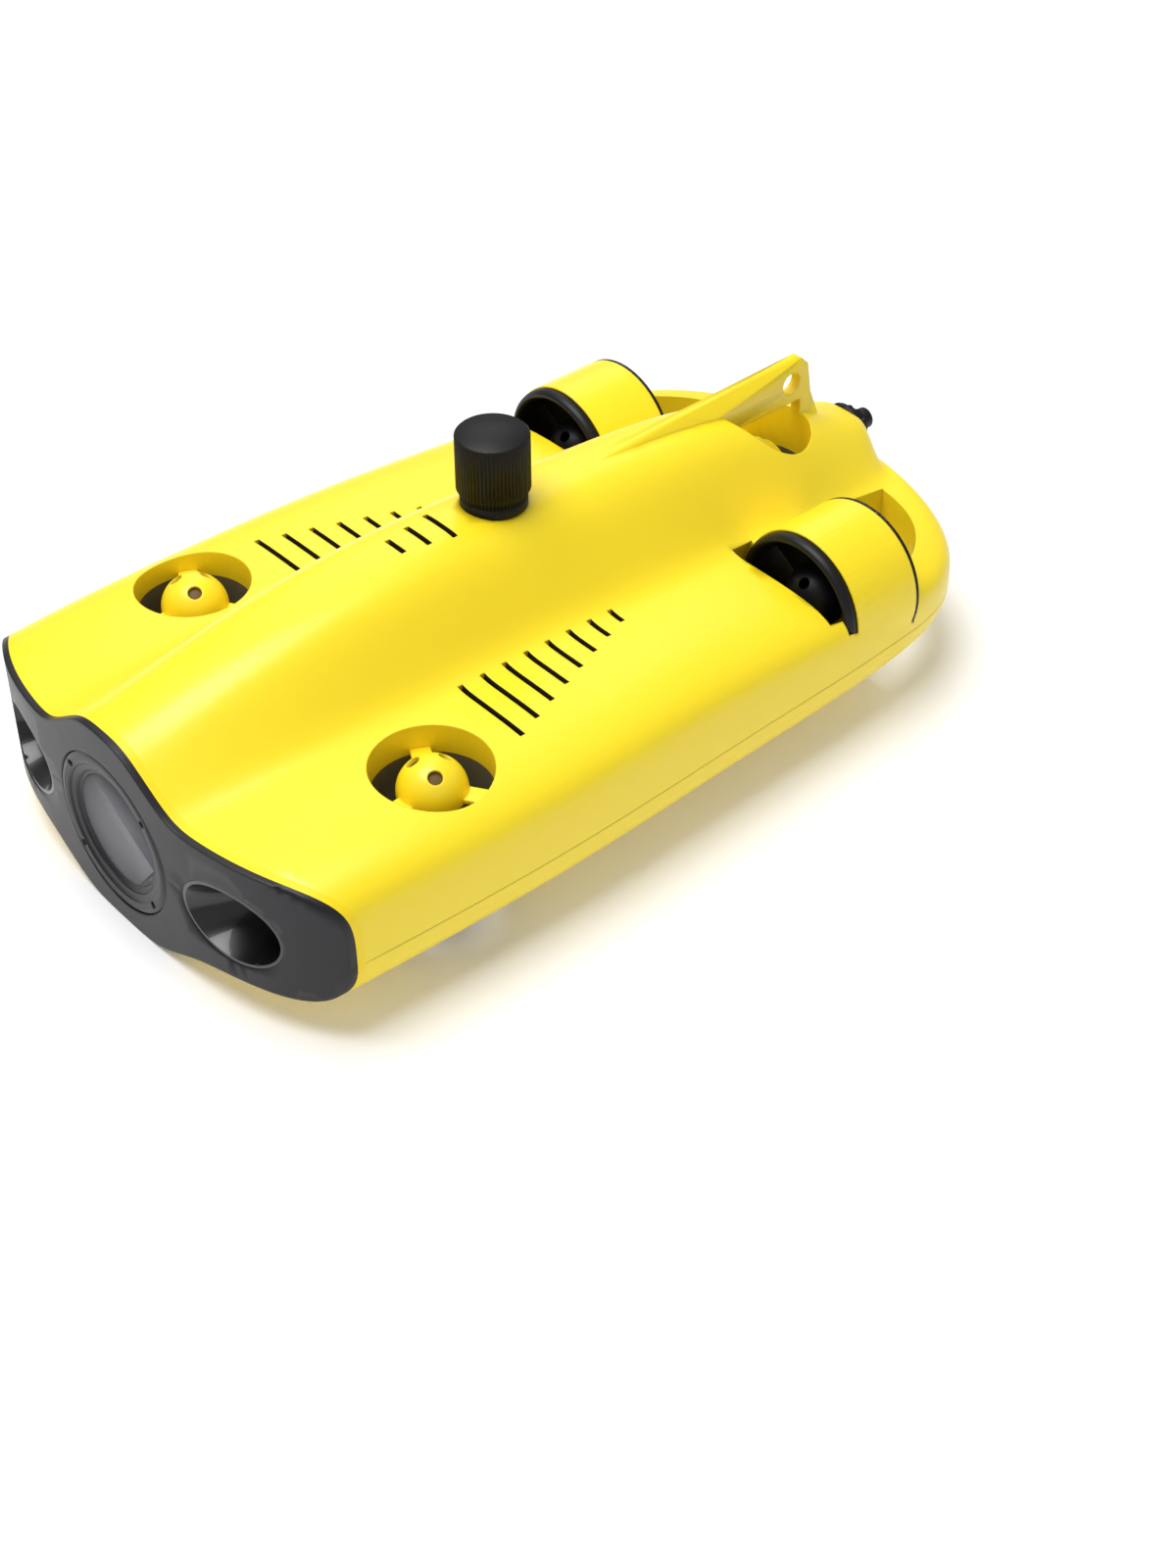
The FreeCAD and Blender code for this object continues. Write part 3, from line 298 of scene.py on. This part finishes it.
def hull_yellow():
    """Satin paint with a fine texture, a darker seam and dark lower ducts."""
    shader = Shader("hull_yellow", Roughness=0.36, Coat_Weight=0.10, Coat_Roughness=0.25)
    x, y, z = shader.coordinates()
    broad = shader.noise(120.0, 2.0)
    base = shader.mix(broad, PAINT, PAINT_DEEP)
    seam = z.near(SEAM, SEAM_HALF, SEAM_BLUR)
    base = shader.mix(seam * SEAM_STRENGTH, base, SEAM_SHADE)
    # Darker colour below the struts, inside the bores of the upright ducts.
    duct_lower_dark = inside_ducts(shader, x, y) * (1.0 - z.above(DUCT_DARK_TOP, DUCT_DARK_BLUR))
    shader.feed("Base Color", shader.mix(duct_lower_dark, base, DUCT_SHADE))
    fine = shader.noise(0.9, 3.0)
    shader.feed("Roughness", broad * 0.05 + fine * 0.05 + 0.31)
    shader.relief(fine, 0.012, behind_nose(x, y).above(JOINT_REACH, 0.5) * HULL_ROUNDING)
    return shader.material


def painted_shade_inside():
    """Painted shade: near black for the hollow side of the shells, which daylight hardly
    reaches.
    """
    shader = Shader("shell_inside_painted_shade", Roughness=0.7)
    dust = shader.noise(8.0, 2.0)
    # Painted shade: two near black colours, mixed at random.
    shader.feed("Base Color", shader.mix(dust, colour(30, 29, 28), colour(38, 36, 33)))
    return shader.material


YELLOW = hull_yellow()
PAINTED_SHADE_INSIDE = painted_shade_inside()
print("hull paint, linear:", [round(v, 3) for v in PAINT[:3]])

# %% [markdown]
# ## The charcoal nose
# The nose is a separate moulding in a dark plastic with a spark-eroded grain. Only its front
# and a narrow edge round it are bare. Behind that edge the hull's paint runs on over the
# joint, so a mask on the distance behind the front face switches between the two colours.

# %% Nose panel
NOSE_ROUNDING = 1.6


def nose_panel():
    """Charcoal front with its narrow edge; behind that the hull's paint runs on."""
    shader = Shader("fascia_charcoal", Roughness=0.40, Specular_IOR_Level=0.35)
    x, y, z = shader.coordinates()
    painted = behind_nose(x, y).above(PANEL_RIM, 0.15)
    grain = shader.noise(0.7, 3.0)
    patch = shader.noise(40.0, 2.0)
    dark = shader.mix(patch * 0.6 + grain * 0.4, colour(23, 22, 27), colour(29, 28, 33))
    shader.feed("Base Color", shader.mix(painted, dark, PAINT))
    shader.feed("Roughness", patch * 0.08 + grain * 0.06 + 0.33)
    shader.relief(grain, 0.010, (1.0 - painted) * NOSE_ROUNDING)
    return shader.material


CHARCOAL = nose_panel()
print("charcoal edge, mm:", PANEL_RIM)

# %% [markdown]
# ## Black plastics
# The trim is glass-filled nylon with a dull grain, the lamp cups are a smooth glossy black,
# and the ring round the camera window is turned in fine steps. The steps are relief on the
# distance from the camera's axis, because they are too low to be worth triangles. The groove
# at the innermost step is a painted shade, near black in colour.

# %% Black plastics
def grained_black(name, red, green, blue, grain_mm, depth_mm, rough):
    """Dull moulded plastic: a fine grain in colour, gloss and relief, with broad patches."""
    shader = Shader(name, Roughness=rough, Specular_IOR_Level=0.3)
    grain = shader.noise(grain_mm, 3.0)
    patch = shader.noise(40.0, 2.0)
    darker = colour(red * 0.86, green * 0.86, blue * 0.86)
    lighter = colour(red, green, blue)
    shader.feed("Base Color", shader.mix(patch * 0.6 + grain * 0.4, darker, lighter))
    shader.feed("Roughness", patch * 0.08 + grain * 0.06 + (rough - 0.07))
    shader.relief(grain, depth_mm)
    return shader.material


CAMERA_AXIS_Z = 42.0
RING_STEPS = (22.4, 25.0, 28.2, 30.6)   # radii of the fine steps round the window
STEP_BLUR, STEP_SHARE, RING_RELIEF = 0.5, 0.25, 1.2
SHADE_GROOVE_HALF, SHADE_GROOVE_BLUR = 0.35, 0.2


def stepped_ring():
    """Black ring round the window, with fine turned steps and a painted shade in the groove of
    the innermost step.
    """
    shader = Shader("bezel_black", Roughness=0.38, Specular_IOR_Level=0.4)
    x, y, z = shader.coordinates()
    across = radius(x, z, 0.0, CAMERA_AXIS_Z)
    height = 0.0
    for step in RING_STEPS:
        height = across.above(step, STEP_BLUR) + height
    grain = shader.noise(0.6, 3.0)
    # Painted shade: the groove at the innermost step is near black.
    groove_shade = across.near(RING_STEPS[0], SHADE_GROOVE_HALF, SHADE_GROOVE_BLUR)
    shader.feed("Base Color", shader.mix(groove_shade, colour(24, 23, 27), colour(6, 6, 7)))
    shader.feed("Roughness", grain * 0.08 + 0.34)
    shader.relief(height * STEP_SHARE + grain * 0.01, RING_RELIEF)
    return shader.material


def gloss_black(name, red, green, blue, rough):
    """Smooth plastic with a thin coat and faint smears."""
    shader = Shader(name, Roughness=rough, Coat_Weight=0.4, Coat_Roughness=0.05)
    smear = shader.noise(14.0, 3.0)
    shader.feed("Base Color", shader.mix(smear, colour(red, green, blue),
                                         colour(red + 4, green + 4, blue + 5)))
    shader.feed("Roughness", smear * 0.06 + rough)
    return shader.material


TRIM = grained_black("trim_black", 18, 18, 21, 0.5, 0.012, 0.42)
CAP = grained_black("cap_black", 12, 11, 15, 0.8, 0.015, 0.48)
BEZEL = stepped_ring()
CUP = gloss_black("reflector_black", 10, 10, 12, 0.26)
PROP = grained_black("propeller_grey", 62, 58, 54, 0.8, 0.01, 0.40)
print("steps round the window:", len(RING_STEPS))

# %% [markdown]
# ## Window and lamp covers
# The camera window is a smoked disc, matte and opaque from outside. Two faint circles in it
# stand for the edges of the lens elements behind it. The lamp covers are clear, so a low
# alpha shows the cup behind them, and a coat keeps their reflections.

# %% Window and covers
INNER_CIRCLE, OUTER_CIRCLE = (7.5, 0.5), (11.0, 0.4)     # radius and half width, mm
CIRCLE_BLUR, CIRCLE_STRENGTH = 0.8, 0.18


def window_glass():
    """Grey disc whose colour and gloss vary a little, with two paler circles."""
    shader = Shader("window_smoked", Roughness=0.4, Specular_IOR_Level=0.3)
    x, y, z = shader.coordinates()
    across = radius(x, z, 0.0, CAMERA_AXIS_Z)
    film = shader.noise(25.0, 2.0)
    base = shader.mix(film, colour(104, 103, 108), colour(112, 111, 116))
    inner = across.near(*INNER_CIRCLE, CIRCLE_BLUR)
    outer = across.near(*OUTER_CIRCLE, CIRCLE_BLUR)
    rings = (inner + outer) * CIRCLE_STRENGTH
    shader.feed("Base Color", shader.mix(rings, base, colour(142, 141, 146)))
    shader.feed("Roughness", film * 0.08 + 0.36)
    return shader.material


def clear_cover():
    """Clear plastic: mostly transparent, glossy, with a coat."""
    shader = Shader("clear_cover", Roughness=0.05, Alpha=0.28, Coat_Weight=0.8)
    film = shader.noise(6.0, 2.0)
    shader.feed("Base Color", shader.mix(film, colour(205, 210, 214), colour(225, 228, 230)))
    shader.feed("Roughness", film * 0.05 + 0.04)
    return shader.material


WINDOW = window_glass()
COVER = clear_cover()
print("circles in the window, mm:", INNER_CIRCLE[0], OUTER_CIRCLE[0])

# %% [markdown]
# ## Metal, rubber and boards
# The rotor bells and the insert are turned, so noise that is squeezed along one axis breaks
# their gloss into fine lines. Rubber, shrink wrap, boards and the cover under each guard are
# plain surfaces without relief, which only need a little dust in their colour. The cover's deep
# brown yellow is a painted shade for the dark inside the vents.

# %% Metal and soft materials
def metal(name, red, green, blue, rough, stretch):
    """Metal with fine lines across the axis along which the noise is squeezed."""
    shader = Shader(name, Metallic=1.0, Roughness=rough)
    lines = shader.noise(1.2, 2.0, stretch)
    darker = colour(red * 0.85, green * 0.85, blue * 0.85)
    shader.feed("Base Color", shader.mix(lines, colour(red, green, blue), darker))
    shader.feed("Roughness", lines * 0.15 + (rough - 0.05))
    shader.relief(lines, 0.006)
    return shader.material


def soft(name, red, green, blue, rough):
    """Plain surface with a little pale dust."""
    shader = Shader(name, Roughness=rough)
    dust = shader.noise(3.0, 4.0)
    dusty = colour(red * 1.15, green * 1.15, blue * 1.15)
    shader.feed("Base Color", shader.mix(dust, colour(red, green, blue), dusty))
    shader.feed("Roughness", dust * 0.1 + (rough - 0.05))
    return shader.material


TURNED = metal("turned_aluminium", 176, 178, 182, 0.30, (1, 1, 12))
ANODISED = metal("anodised_black", 52, 52, 56, 0.38, (1, 12, 1))
STEEL = metal("ballast_steel", 160, 162, 165, 0.35, (1, 0.1, 1))
BRASS = metal("insert_brass", 196, 160, 84, 0.32, (1, 1, 8))
RUBBER = soft("seal_rubber", 26, 26, 27, 0.75)
WRAP = soft("battery_wrap", 36, 66, 120, 0.35)
BOARD = soft("board_green", 24, 84, 46, 0.45)
EMITTER = soft("emitter_board", 226, 220, 160, 0.45)
# Painted shade: the cover's deep brown yellow stands for the dark inside the vents.
COVER_PAINTED_SHADE = soft("guard_cover_painted_shade", 92, 70, 14, 0.6)
print("materials:", len(bpy.data.materials))

# %% [markdown]
# ## Smooth copies of the solids
# A solid arrives as loose triangles, which would shade as flat facets. Each one is copied, its
# shared corners are merged, and every edge that is flatter than a limit is shaded smoothly.
# The copy then stands for the solid, rides on the same body, and has the same shape.

# %% Copies
SMOOTH_LIMIT = math.radians(28)
MERGE = 2e-6
SLOTS = {part["node"]: part["material_slot"] for part in frame["record"]["subparts"]}


def merged_copy(name):
    """Copy of a CAD node's mesh with its shared corners merged."""
    mesh = nodes[name].data.copy()
    mesh.name = "skin_" + name
    shape = bmesh.new()
    shape.from_mesh(mesh)
    bmesh.ops.remove_doubles(shape, verts=shape.verts, dist=MERGE)
    shape.to_mesh(mesh)
    shape.free()
    mesh.materials.clear()
    return mesh


def stand_in(name, mesh):
    """Shades a mesh smoothly and puts it in the place of a CAD node, on the same body."""
    mesh.shade_smooth()
    mesh.set_sharp_from_angle(angle=SMOOTH_LIMIT)
    piece = bpy.data.objects.new("skin_" + name, mesh)
    bpy.context.scene.collection.objects.link(piece)
    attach(piece, nodes[name]["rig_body"])
    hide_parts(name)
    return piece


print("slots:", len(set(SLOTS.values())))

# %% [markdown]
# ## The closed joint and the painted shade in the hollow
# Two details need the meshes themselves. The paint runs over the joint behind the nose panel,
# so the panel's rear edge moves back over the small gap. The slits look black on the real
# hull, because little light comes back out of it, so their walls and the faces that look into
# the hull get a painted shade, a near black material. Faces are chosen by where their centre
# lies and by where their normal points, as whole arrays.

# %% Joint and hollow
HOLLOW_SIDE = {"upper_shell": -1, "lower_shell": 1}    # where hollow faces point, along z
HOLLOW_START, HOLLOW_END = 30.0, 250.0          # from the nose, mm
SEAM_CLEAR, FACING = 2.0, 0.2
SLITS_START, SLITS_END, SLIT_FLOOR, SLIT_FACING = 118.0, 215.0, 60.0, 0.8
CAP_FROM_NOSE, CAP_CLEAR = 184.3, 20.0
REAR_BAND = 0.1                                 # what counts as the panel's rear edge


def close_joint(mesh):
    """Adds the joint's width to y for every corner on the panel's rear edge."""
    corners = np.empty(3 * len(mesh.vertices))
    mesh.vertices.foreach_get("co", corners)
    corners = corners.reshape(-1, 3) * 1000
    rear = behind_nose(corners[:, 0], corners[:, 1]) > PANEL_DEPTH - REAR_BAND
    corners[:, 1] += JOINT * rear
    mesh.vertices.foreach_set("co", (corners / 1000).ravel())
    return int(rear.sum())


def paint_shade_in_hollow(mesh, side):
    """Second material, a painted shade, for faces whose normal points into the hull, and for
    the slits' walls.
    """
    count = len(mesh.polygons)
    centres, normals = np.empty(3 * count), np.empty(3 * count)
    mesh.polygons.foreach_get("center", centres)
    mesh.polygons.foreach_get("normal", normals)
    centres, normals = centres.reshape(-1, 3) * 1000, normals.reshape(-1, 3)
    from_nose = centres[:, 1] + HALF_LENGTH
    hollow = normals[:, 2] * side > FACING
    hollow &= (centres[:, 2] - SEAM) * side < -SEAM_CLEAR
    hollow &= (from_nose > HOLLOW_START) & (from_nose < HOLLOW_END)
    slits = (np.abs(normals[:, 1]) > SLIT_FACING) & (centres[:, 2] > SLIT_FLOOR)
    slits &= (from_nose > SLITS_START) & (from_nose < SLITS_END)
    slits &= np.hypot(centres[:, 0], from_nose - CAP_FROM_NOSE) > CAP_CLEAR
    mesh.polygons.foreach_set("material_index", (hollow | slits).astype(np.int32))
    return int((hollow | slits).sum())


print("joint to close, mm:", JOINT)

# %% [markdown]
# ## Dressing every solid
# Each solid names a slot in its record, and a slot stands for a finish. Three pieces share a
# slot with others but have a finish of their own. The three guards are left out here, since
# they get new meshes further down.

# %% Dress the solids
FINISH = {
    "hull_yellow": YELLOW, "fascia_black": CHARCOAL, "trim_black": TRIM, "lens_dark": WINDOW,
    "reflector_black": CUP, "clear_lens": COVER, "led_board": EMITTER, "aluminium": TURNED,
    "anodised_black": ANODISED, "rubber_black": RUBBER, "battery_wrap": WRAP,
    "board_green": BOARD, "ballast_steel": STEEL, "propeller_grey": PROP, "brass": BRASS,
}
OWN_FINISH = {"service_cap": CAP, "service_neck": CAP, "camera_bezel": BEZEL}
GUARDS = dict(zip(("hub_guard_front_port", "hub_guard_front_starboard",
                   "hub_guard_rear_upright"), DUCTS))

for name in sorted(set(nodes) - set(GUARDS)):
    skin = merged_copy(name)
    skin.materials.append(OWN_FINISH.get(name, FINISH[SLOTS[name]]))
    if name in HOLLOW_SIDE:
        # The shells' hollow faces and the slits' walls get the painted shade.
        skin.materials.append(PAINTED_SHADE_INSIDE)
        print(name, "dark faces:", paint_shade_in_hollow(skin, HOLLOW_SIDE[name]))
    if name == "front_fascia":
        print("corners on the panel's rear edge:", close_joint(skin))
    stand_in(name, skin)
print("dressed", len(nodes) - len(GUARDS), "solids")

# %% [markdown]
# ## Surfaces from formulas
# The guards over the upright propellers are new pieces. Each of their surfaces is a grid of
# points from a formula with two parameters. One runs along a profile and the other goes round,
# so the grid closes on itself round the piece. Rows that shrink to a point close its ends,
# once equal corners are merged.

# %% Surface helpers
POLE_MERGE = 1e-4
ROUND = 96


def surface(points, name):
    """Mesh of a grid of points, in mm, that closes round along its columns.

    Corner (row, column) joins the next column, counted round, and the next row.
    """
    rows, columns, _ = points.shape
    corner = np.arange(rows * columns).reshape(rows, columns)
    beside = np.roll(corner, -1, axis=1)
    quads = np.stack([corner[:-1], beside[:-1], beside[1:], corner[1:]], axis=-1)
    mesh = bpy.data.meshes.new(name)
    mesh.from_pydata(points.reshape(-1, 3).tolist(), [], quads.reshape(-1, 4).tolist())
    shape = bmesh.new()
    shape.from_mesh(mesh)
    bmesh.ops.remove_doubles(shape, verts=shape.verts, dist=POLE_MERGE)
    bmesh.ops.recalc_face_normals(shape, faces=shape.faces)
    shape.to_mesh(mesh)
    shape.free()
    return mesh


def turned(profile, name, steps=ROUND):
    """Skin round the z axis: x and y are the radius times the cosine and sine of the turn."""
    across, height = np.array(profile, dtype=float).T
    turn = np.linspace(0, 2 * math.pi, steps, endpoint=False)
    x = np.outer(across, np.cos(turn))
    y = np.outer(across, np.sin(turn))
    z = np.repeat(height[:, None], steps, axis=1)
    return surface(np.stack([x, y, z], axis=-1), name)


print("segments round a dome:", ROUND)

# %% [markdown]
# ## The dome and its vents
# A guard keeps weed and fingers off the propeller's hub. It is a thin half sphere on a short
# skirt, turned from its profile. Three round vents lie between its arms, a third of a turn
# apart. Holes don't follow the grid of a turned skin, so a boolean cuts them.

# %% Dome
DOME, DOME_WALL, DOME_CENTRE, DOME_FOOT = 13.5, 1.5, 60.7, 56.7
VENT, VENT_FROM_POLE, DRILL_STEPS = 2.8, 32.5, 48
DRILL_HALF = 3.0                                # half length of the tool that cuts a vent
ARM_ANGLE = 33.0
THIRDS = (0.0, 120.0, 240.0)


def quarter(circle):
    """Profile of a half sphere from its pole down: sine across, cosine up."""
    angle = np.linspace(0, math.pi / 2, ROUND // 4 + 1)
    return np.stack([circle * np.sin(angle), DOME_CENTRE + circle * np.cos(angle)], axis=-1)


def loose(mesh):
    """Temporary object for a boolean."""
    made = bpy.data.objects.new("loose", mesh)
    bpy.context.scene.collection.objects.link(made)
    return made


def vented_dome():
    """Outer and inner half sphere joined by the foot, less three drilled vents."""
    inner = DOME - DOME_WALL
    foot = [(DOME, DOME_FOOT), (inner, DOME_FOOT)]
    body = loose(turned(np.concatenate([quarter(DOME), foot, quarter(inner)[::-1]]), "dome"))
    rod = [(0, -DRILL_HALF), (VENT, -DRILL_HALF), (VENT, DRILL_HALF), (0, DRILL_HALF)]
    drills = []
    for third in THIRDS:
        drill = turned(rod, "drill", DRILL_STEPS)
        drill.transform(
            Matrix.Translation((0, 0, DOME_CENTRE))
            @ Matrix.Rotation(math.radians(ARM_ANGLE + 180.0 + third), 4, "Z")
            @ Matrix.Rotation(math.radians(VENT_FROM_POLE), 4, "Y")
            @ Matrix.Translation((0, 0, DOME)))
        drills.append(loose(drill))
        change = body.modifiers.new("vent", "BOOLEAN")
        change.operation, change.object, change.solver = "DIFFERENCE", drills[-1], "EXACT"
    graph = bpy.context.evaluated_depsgraph_get()
    mesh = bpy.data.meshes.new_from_object(body.evaluated_get(graph))
    for done in [body, *drills]:
        bpy.data.objects.remove(done)
    return mesh


dome = vented_dome()
print("dome with vents:", len(dome.polygons), "faces")

# %% [markdown]
# ## The arms
# Three flat arms carry the dome. An arm's outline has a straight root inside the dome and a
# tip that is curved to fit the wall of the duct. The outline is stacked upwards, and it
# shrinks near the bottom and the top along a quarter circle. That rounds the edges, which
# catch the light in the dark of the duct.

# %% Arms
ARM_WIDTH, ARM_LOW, ARM_HIGH, ARM_REACH = 8.0, 59.9, 62.1, 23.25
ARM_BEVEL, BEVEL_STEPS, TIP_POINTS = 0.45, 3, 9


def arm_outline(inset):
    """Outline shrunk by an inset. On the tip, x is the root of the reach squared less y
    squared."""
    half, root = ARM_WIDTH / 2 - inset, DOME - DOME_WALL + inset
    across = np.linspace(-half, half, TIP_POINTS)
    tip = np.stack([np.sqrt((ARM_REACH - inset) ** 2 - across ** 2), across], axis=-1)
    return np.concatenate([[(root, -half)], tip, [(root, half)]])


def arm(third):
    """Stack of outlines. Along the quarter circle of a rounded edge, the inset is the bevel
    times one less the sine, and the rise is the bevel times one less the cosine."""
    bend = np.linspace(0, math.pi / 2, BEVEL_STEPS + 1)
    inset, rise = ARM_BEVEL * (1 - np.sin(bend)), ARM_BEVEL * (1 - np.cos(bend))
    outlines = [arm_outline(step) for step in (*inset, *inset[::-1])]
    heights = np.concatenate([ARM_LOW + rise, ARM_HIGH - rise[::-1]])
    outlines = [outlines[0] * 0 + outlines[0].mean(0), *outlines]
    outlines.append(outlines[0])
    heights = np.concatenate([[ARM_LOW], heights, [ARM_HIGH]])
    up = np.repeat(heights[:, None, None], len(outlines[0]), axis=1)
    mesh = surface(np.concatenate([np.array(outlines), up], axis=-1), "arm")
    mesh.transform(Matrix.Rotation(math.radians(ARM_ANGLE + third), 4, "Z"))
    return mesh


arms = [arm(third) for third in THIRDS]
print("arm:", len(arms[0].polygons), "faces")

# %% [markdown]
# ## Three guards
# The dome, the arms and a cover under the vents make one mesh. The cover hides the motor, as
# the inner cap of such a guard does, and its deep brown yellow is a painted shade for the dark
# inside the vents. The finished mesh is copied to each of the three ducts.

# %% Guards
COVER_GAP = 0.15


def joined(meshes, slots):
    """One mesh from several, each with its own material slot."""
    whole = bmesh.new()
    for mesh, slot in zip(meshes, slots):
        before = len(whole.faces)
        whole.from_mesh(mesh)
        whole.faces.ensure_lookup_table()
        for face in whole.faces[before:]:
            face.material_index = slot
    result = bpy.data.meshes.new("guard")
    whole.to_mesh(result)
    whole.free()
    return result


cover_profile = np.concatenate([quarter(DOME - DOME_WALL - COVER_GAP), [(0.0, DOME_CENTRE)]])
guard = joined([dome, turned(cover_profile, "cover"), *arms], [0, 1, 0, 0, 0])
for name, (middle_x, from_nose) in GUARDS.items():
    copy = guard.copy()
    copy.transform(Matrix.Translation((middle_x / 1000, (from_nose - HALF_LENGTH) / 1000, 0))
                   @ Matrix.Scale(0.001, 4))
    copy.materials.append(YELLOW)
    copy.materials.append(COVER_PAINTED_SHADE)
    stand_in(name, copy)
print("guards:", len(GUARDS))

# %% [markdown]
# ## Studio
# A pale floor takes a soft shadow. A large key light stands above the craft, with weak ones
# off the port bow and behind on the starboard side. This leaves the side walls darker than
# the decks and shows the waves of the hull. The floor glows faintly, which whitens it and
# also lifts the craft's lower walls a little. The world is an even white at a third of full
# strength, which fills the shadows.

# %% Floor
FLOOR_HALF, FLOOR_GLOW = 6.0, 0.12


def floor_material():
    """Pale floor with a faint white glow."""
    shader = Shader("floor_pale", Roughness=0.9, Emission_Strength=FLOOR_GLOW)
    shader.surface.inputs["Base Color"].default_value = colour(244, 244, 245)
    shader.surface.inputs["Emission Color"].default_value = colour(255, 255, 255)
    return shader.material


floor_mesh = bpy.data.meshes.new("floor")
floor_mesh.from_pydata(
    [(-FLOOR_HALF, -FLOOR_HALF, 0), (FLOOR_HALF, -FLOOR_HALF, 0),
     (FLOOR_HALF, FLOOR_HALF, 0), (-FLOOR_HALF, FLOOR_HALF, 0)], [], [(0, 1, 2, 3)])
floor_mesh.materials.append(floor_material())
floor = bpy.data.objects.new("floor", floor_mesh)
bpy.context.scene.collection.objects.link(floor)
print("floor, m:", 2 * FLOOR_HALF)

# %% Lights and world
AIM = Vector((0, 0, 0.05))
LIGHTS = (                      # name, place, diameter in metres, watts
    ("key", (-0.25, -0.35, 1.9), 1.5, 38.0),
    ("fill", (1.3, -0.5, 0.9), 1.4, 0.8),
    ("back", (-1.2, 0.9, 1.2), 1.2, 4.0),
)
WORLD_STRENGTH = 0.34


def area_light(name, place, diameter, power):
    """Round area light that faces the craft."""
    data = bpy.data.lights.new(name, "AREA")
    data.shape, data.size, data.energy = "DISK", diameter, power
    lamp = bpy.data.objects.new(name, data)
    lamp.location = place
    lamp.rotation_euler = (AIM - Vector(place)).to_track_quat("-Z", "Y").to_euler()
    bpy.context.scene.collection.objects.link(lamp)


for light in LIGHTS:
    area_light(*light)

scene = bpy.context.scene
scene.world = bpy.data.worlds.new("studio")
scene.world.use_nodes = True
background = scene.world.node_tree.nodes["Background"]
background.inputs["Color"].default_value = (1.0, 1.0, 1.0, 1.0)
background.inputs["Strength"].default_value = WORLD_STRENGTH
scene.view_settings.view_transform = "Standard"
print("lights:", [name for name, *_ in LIGHTS])
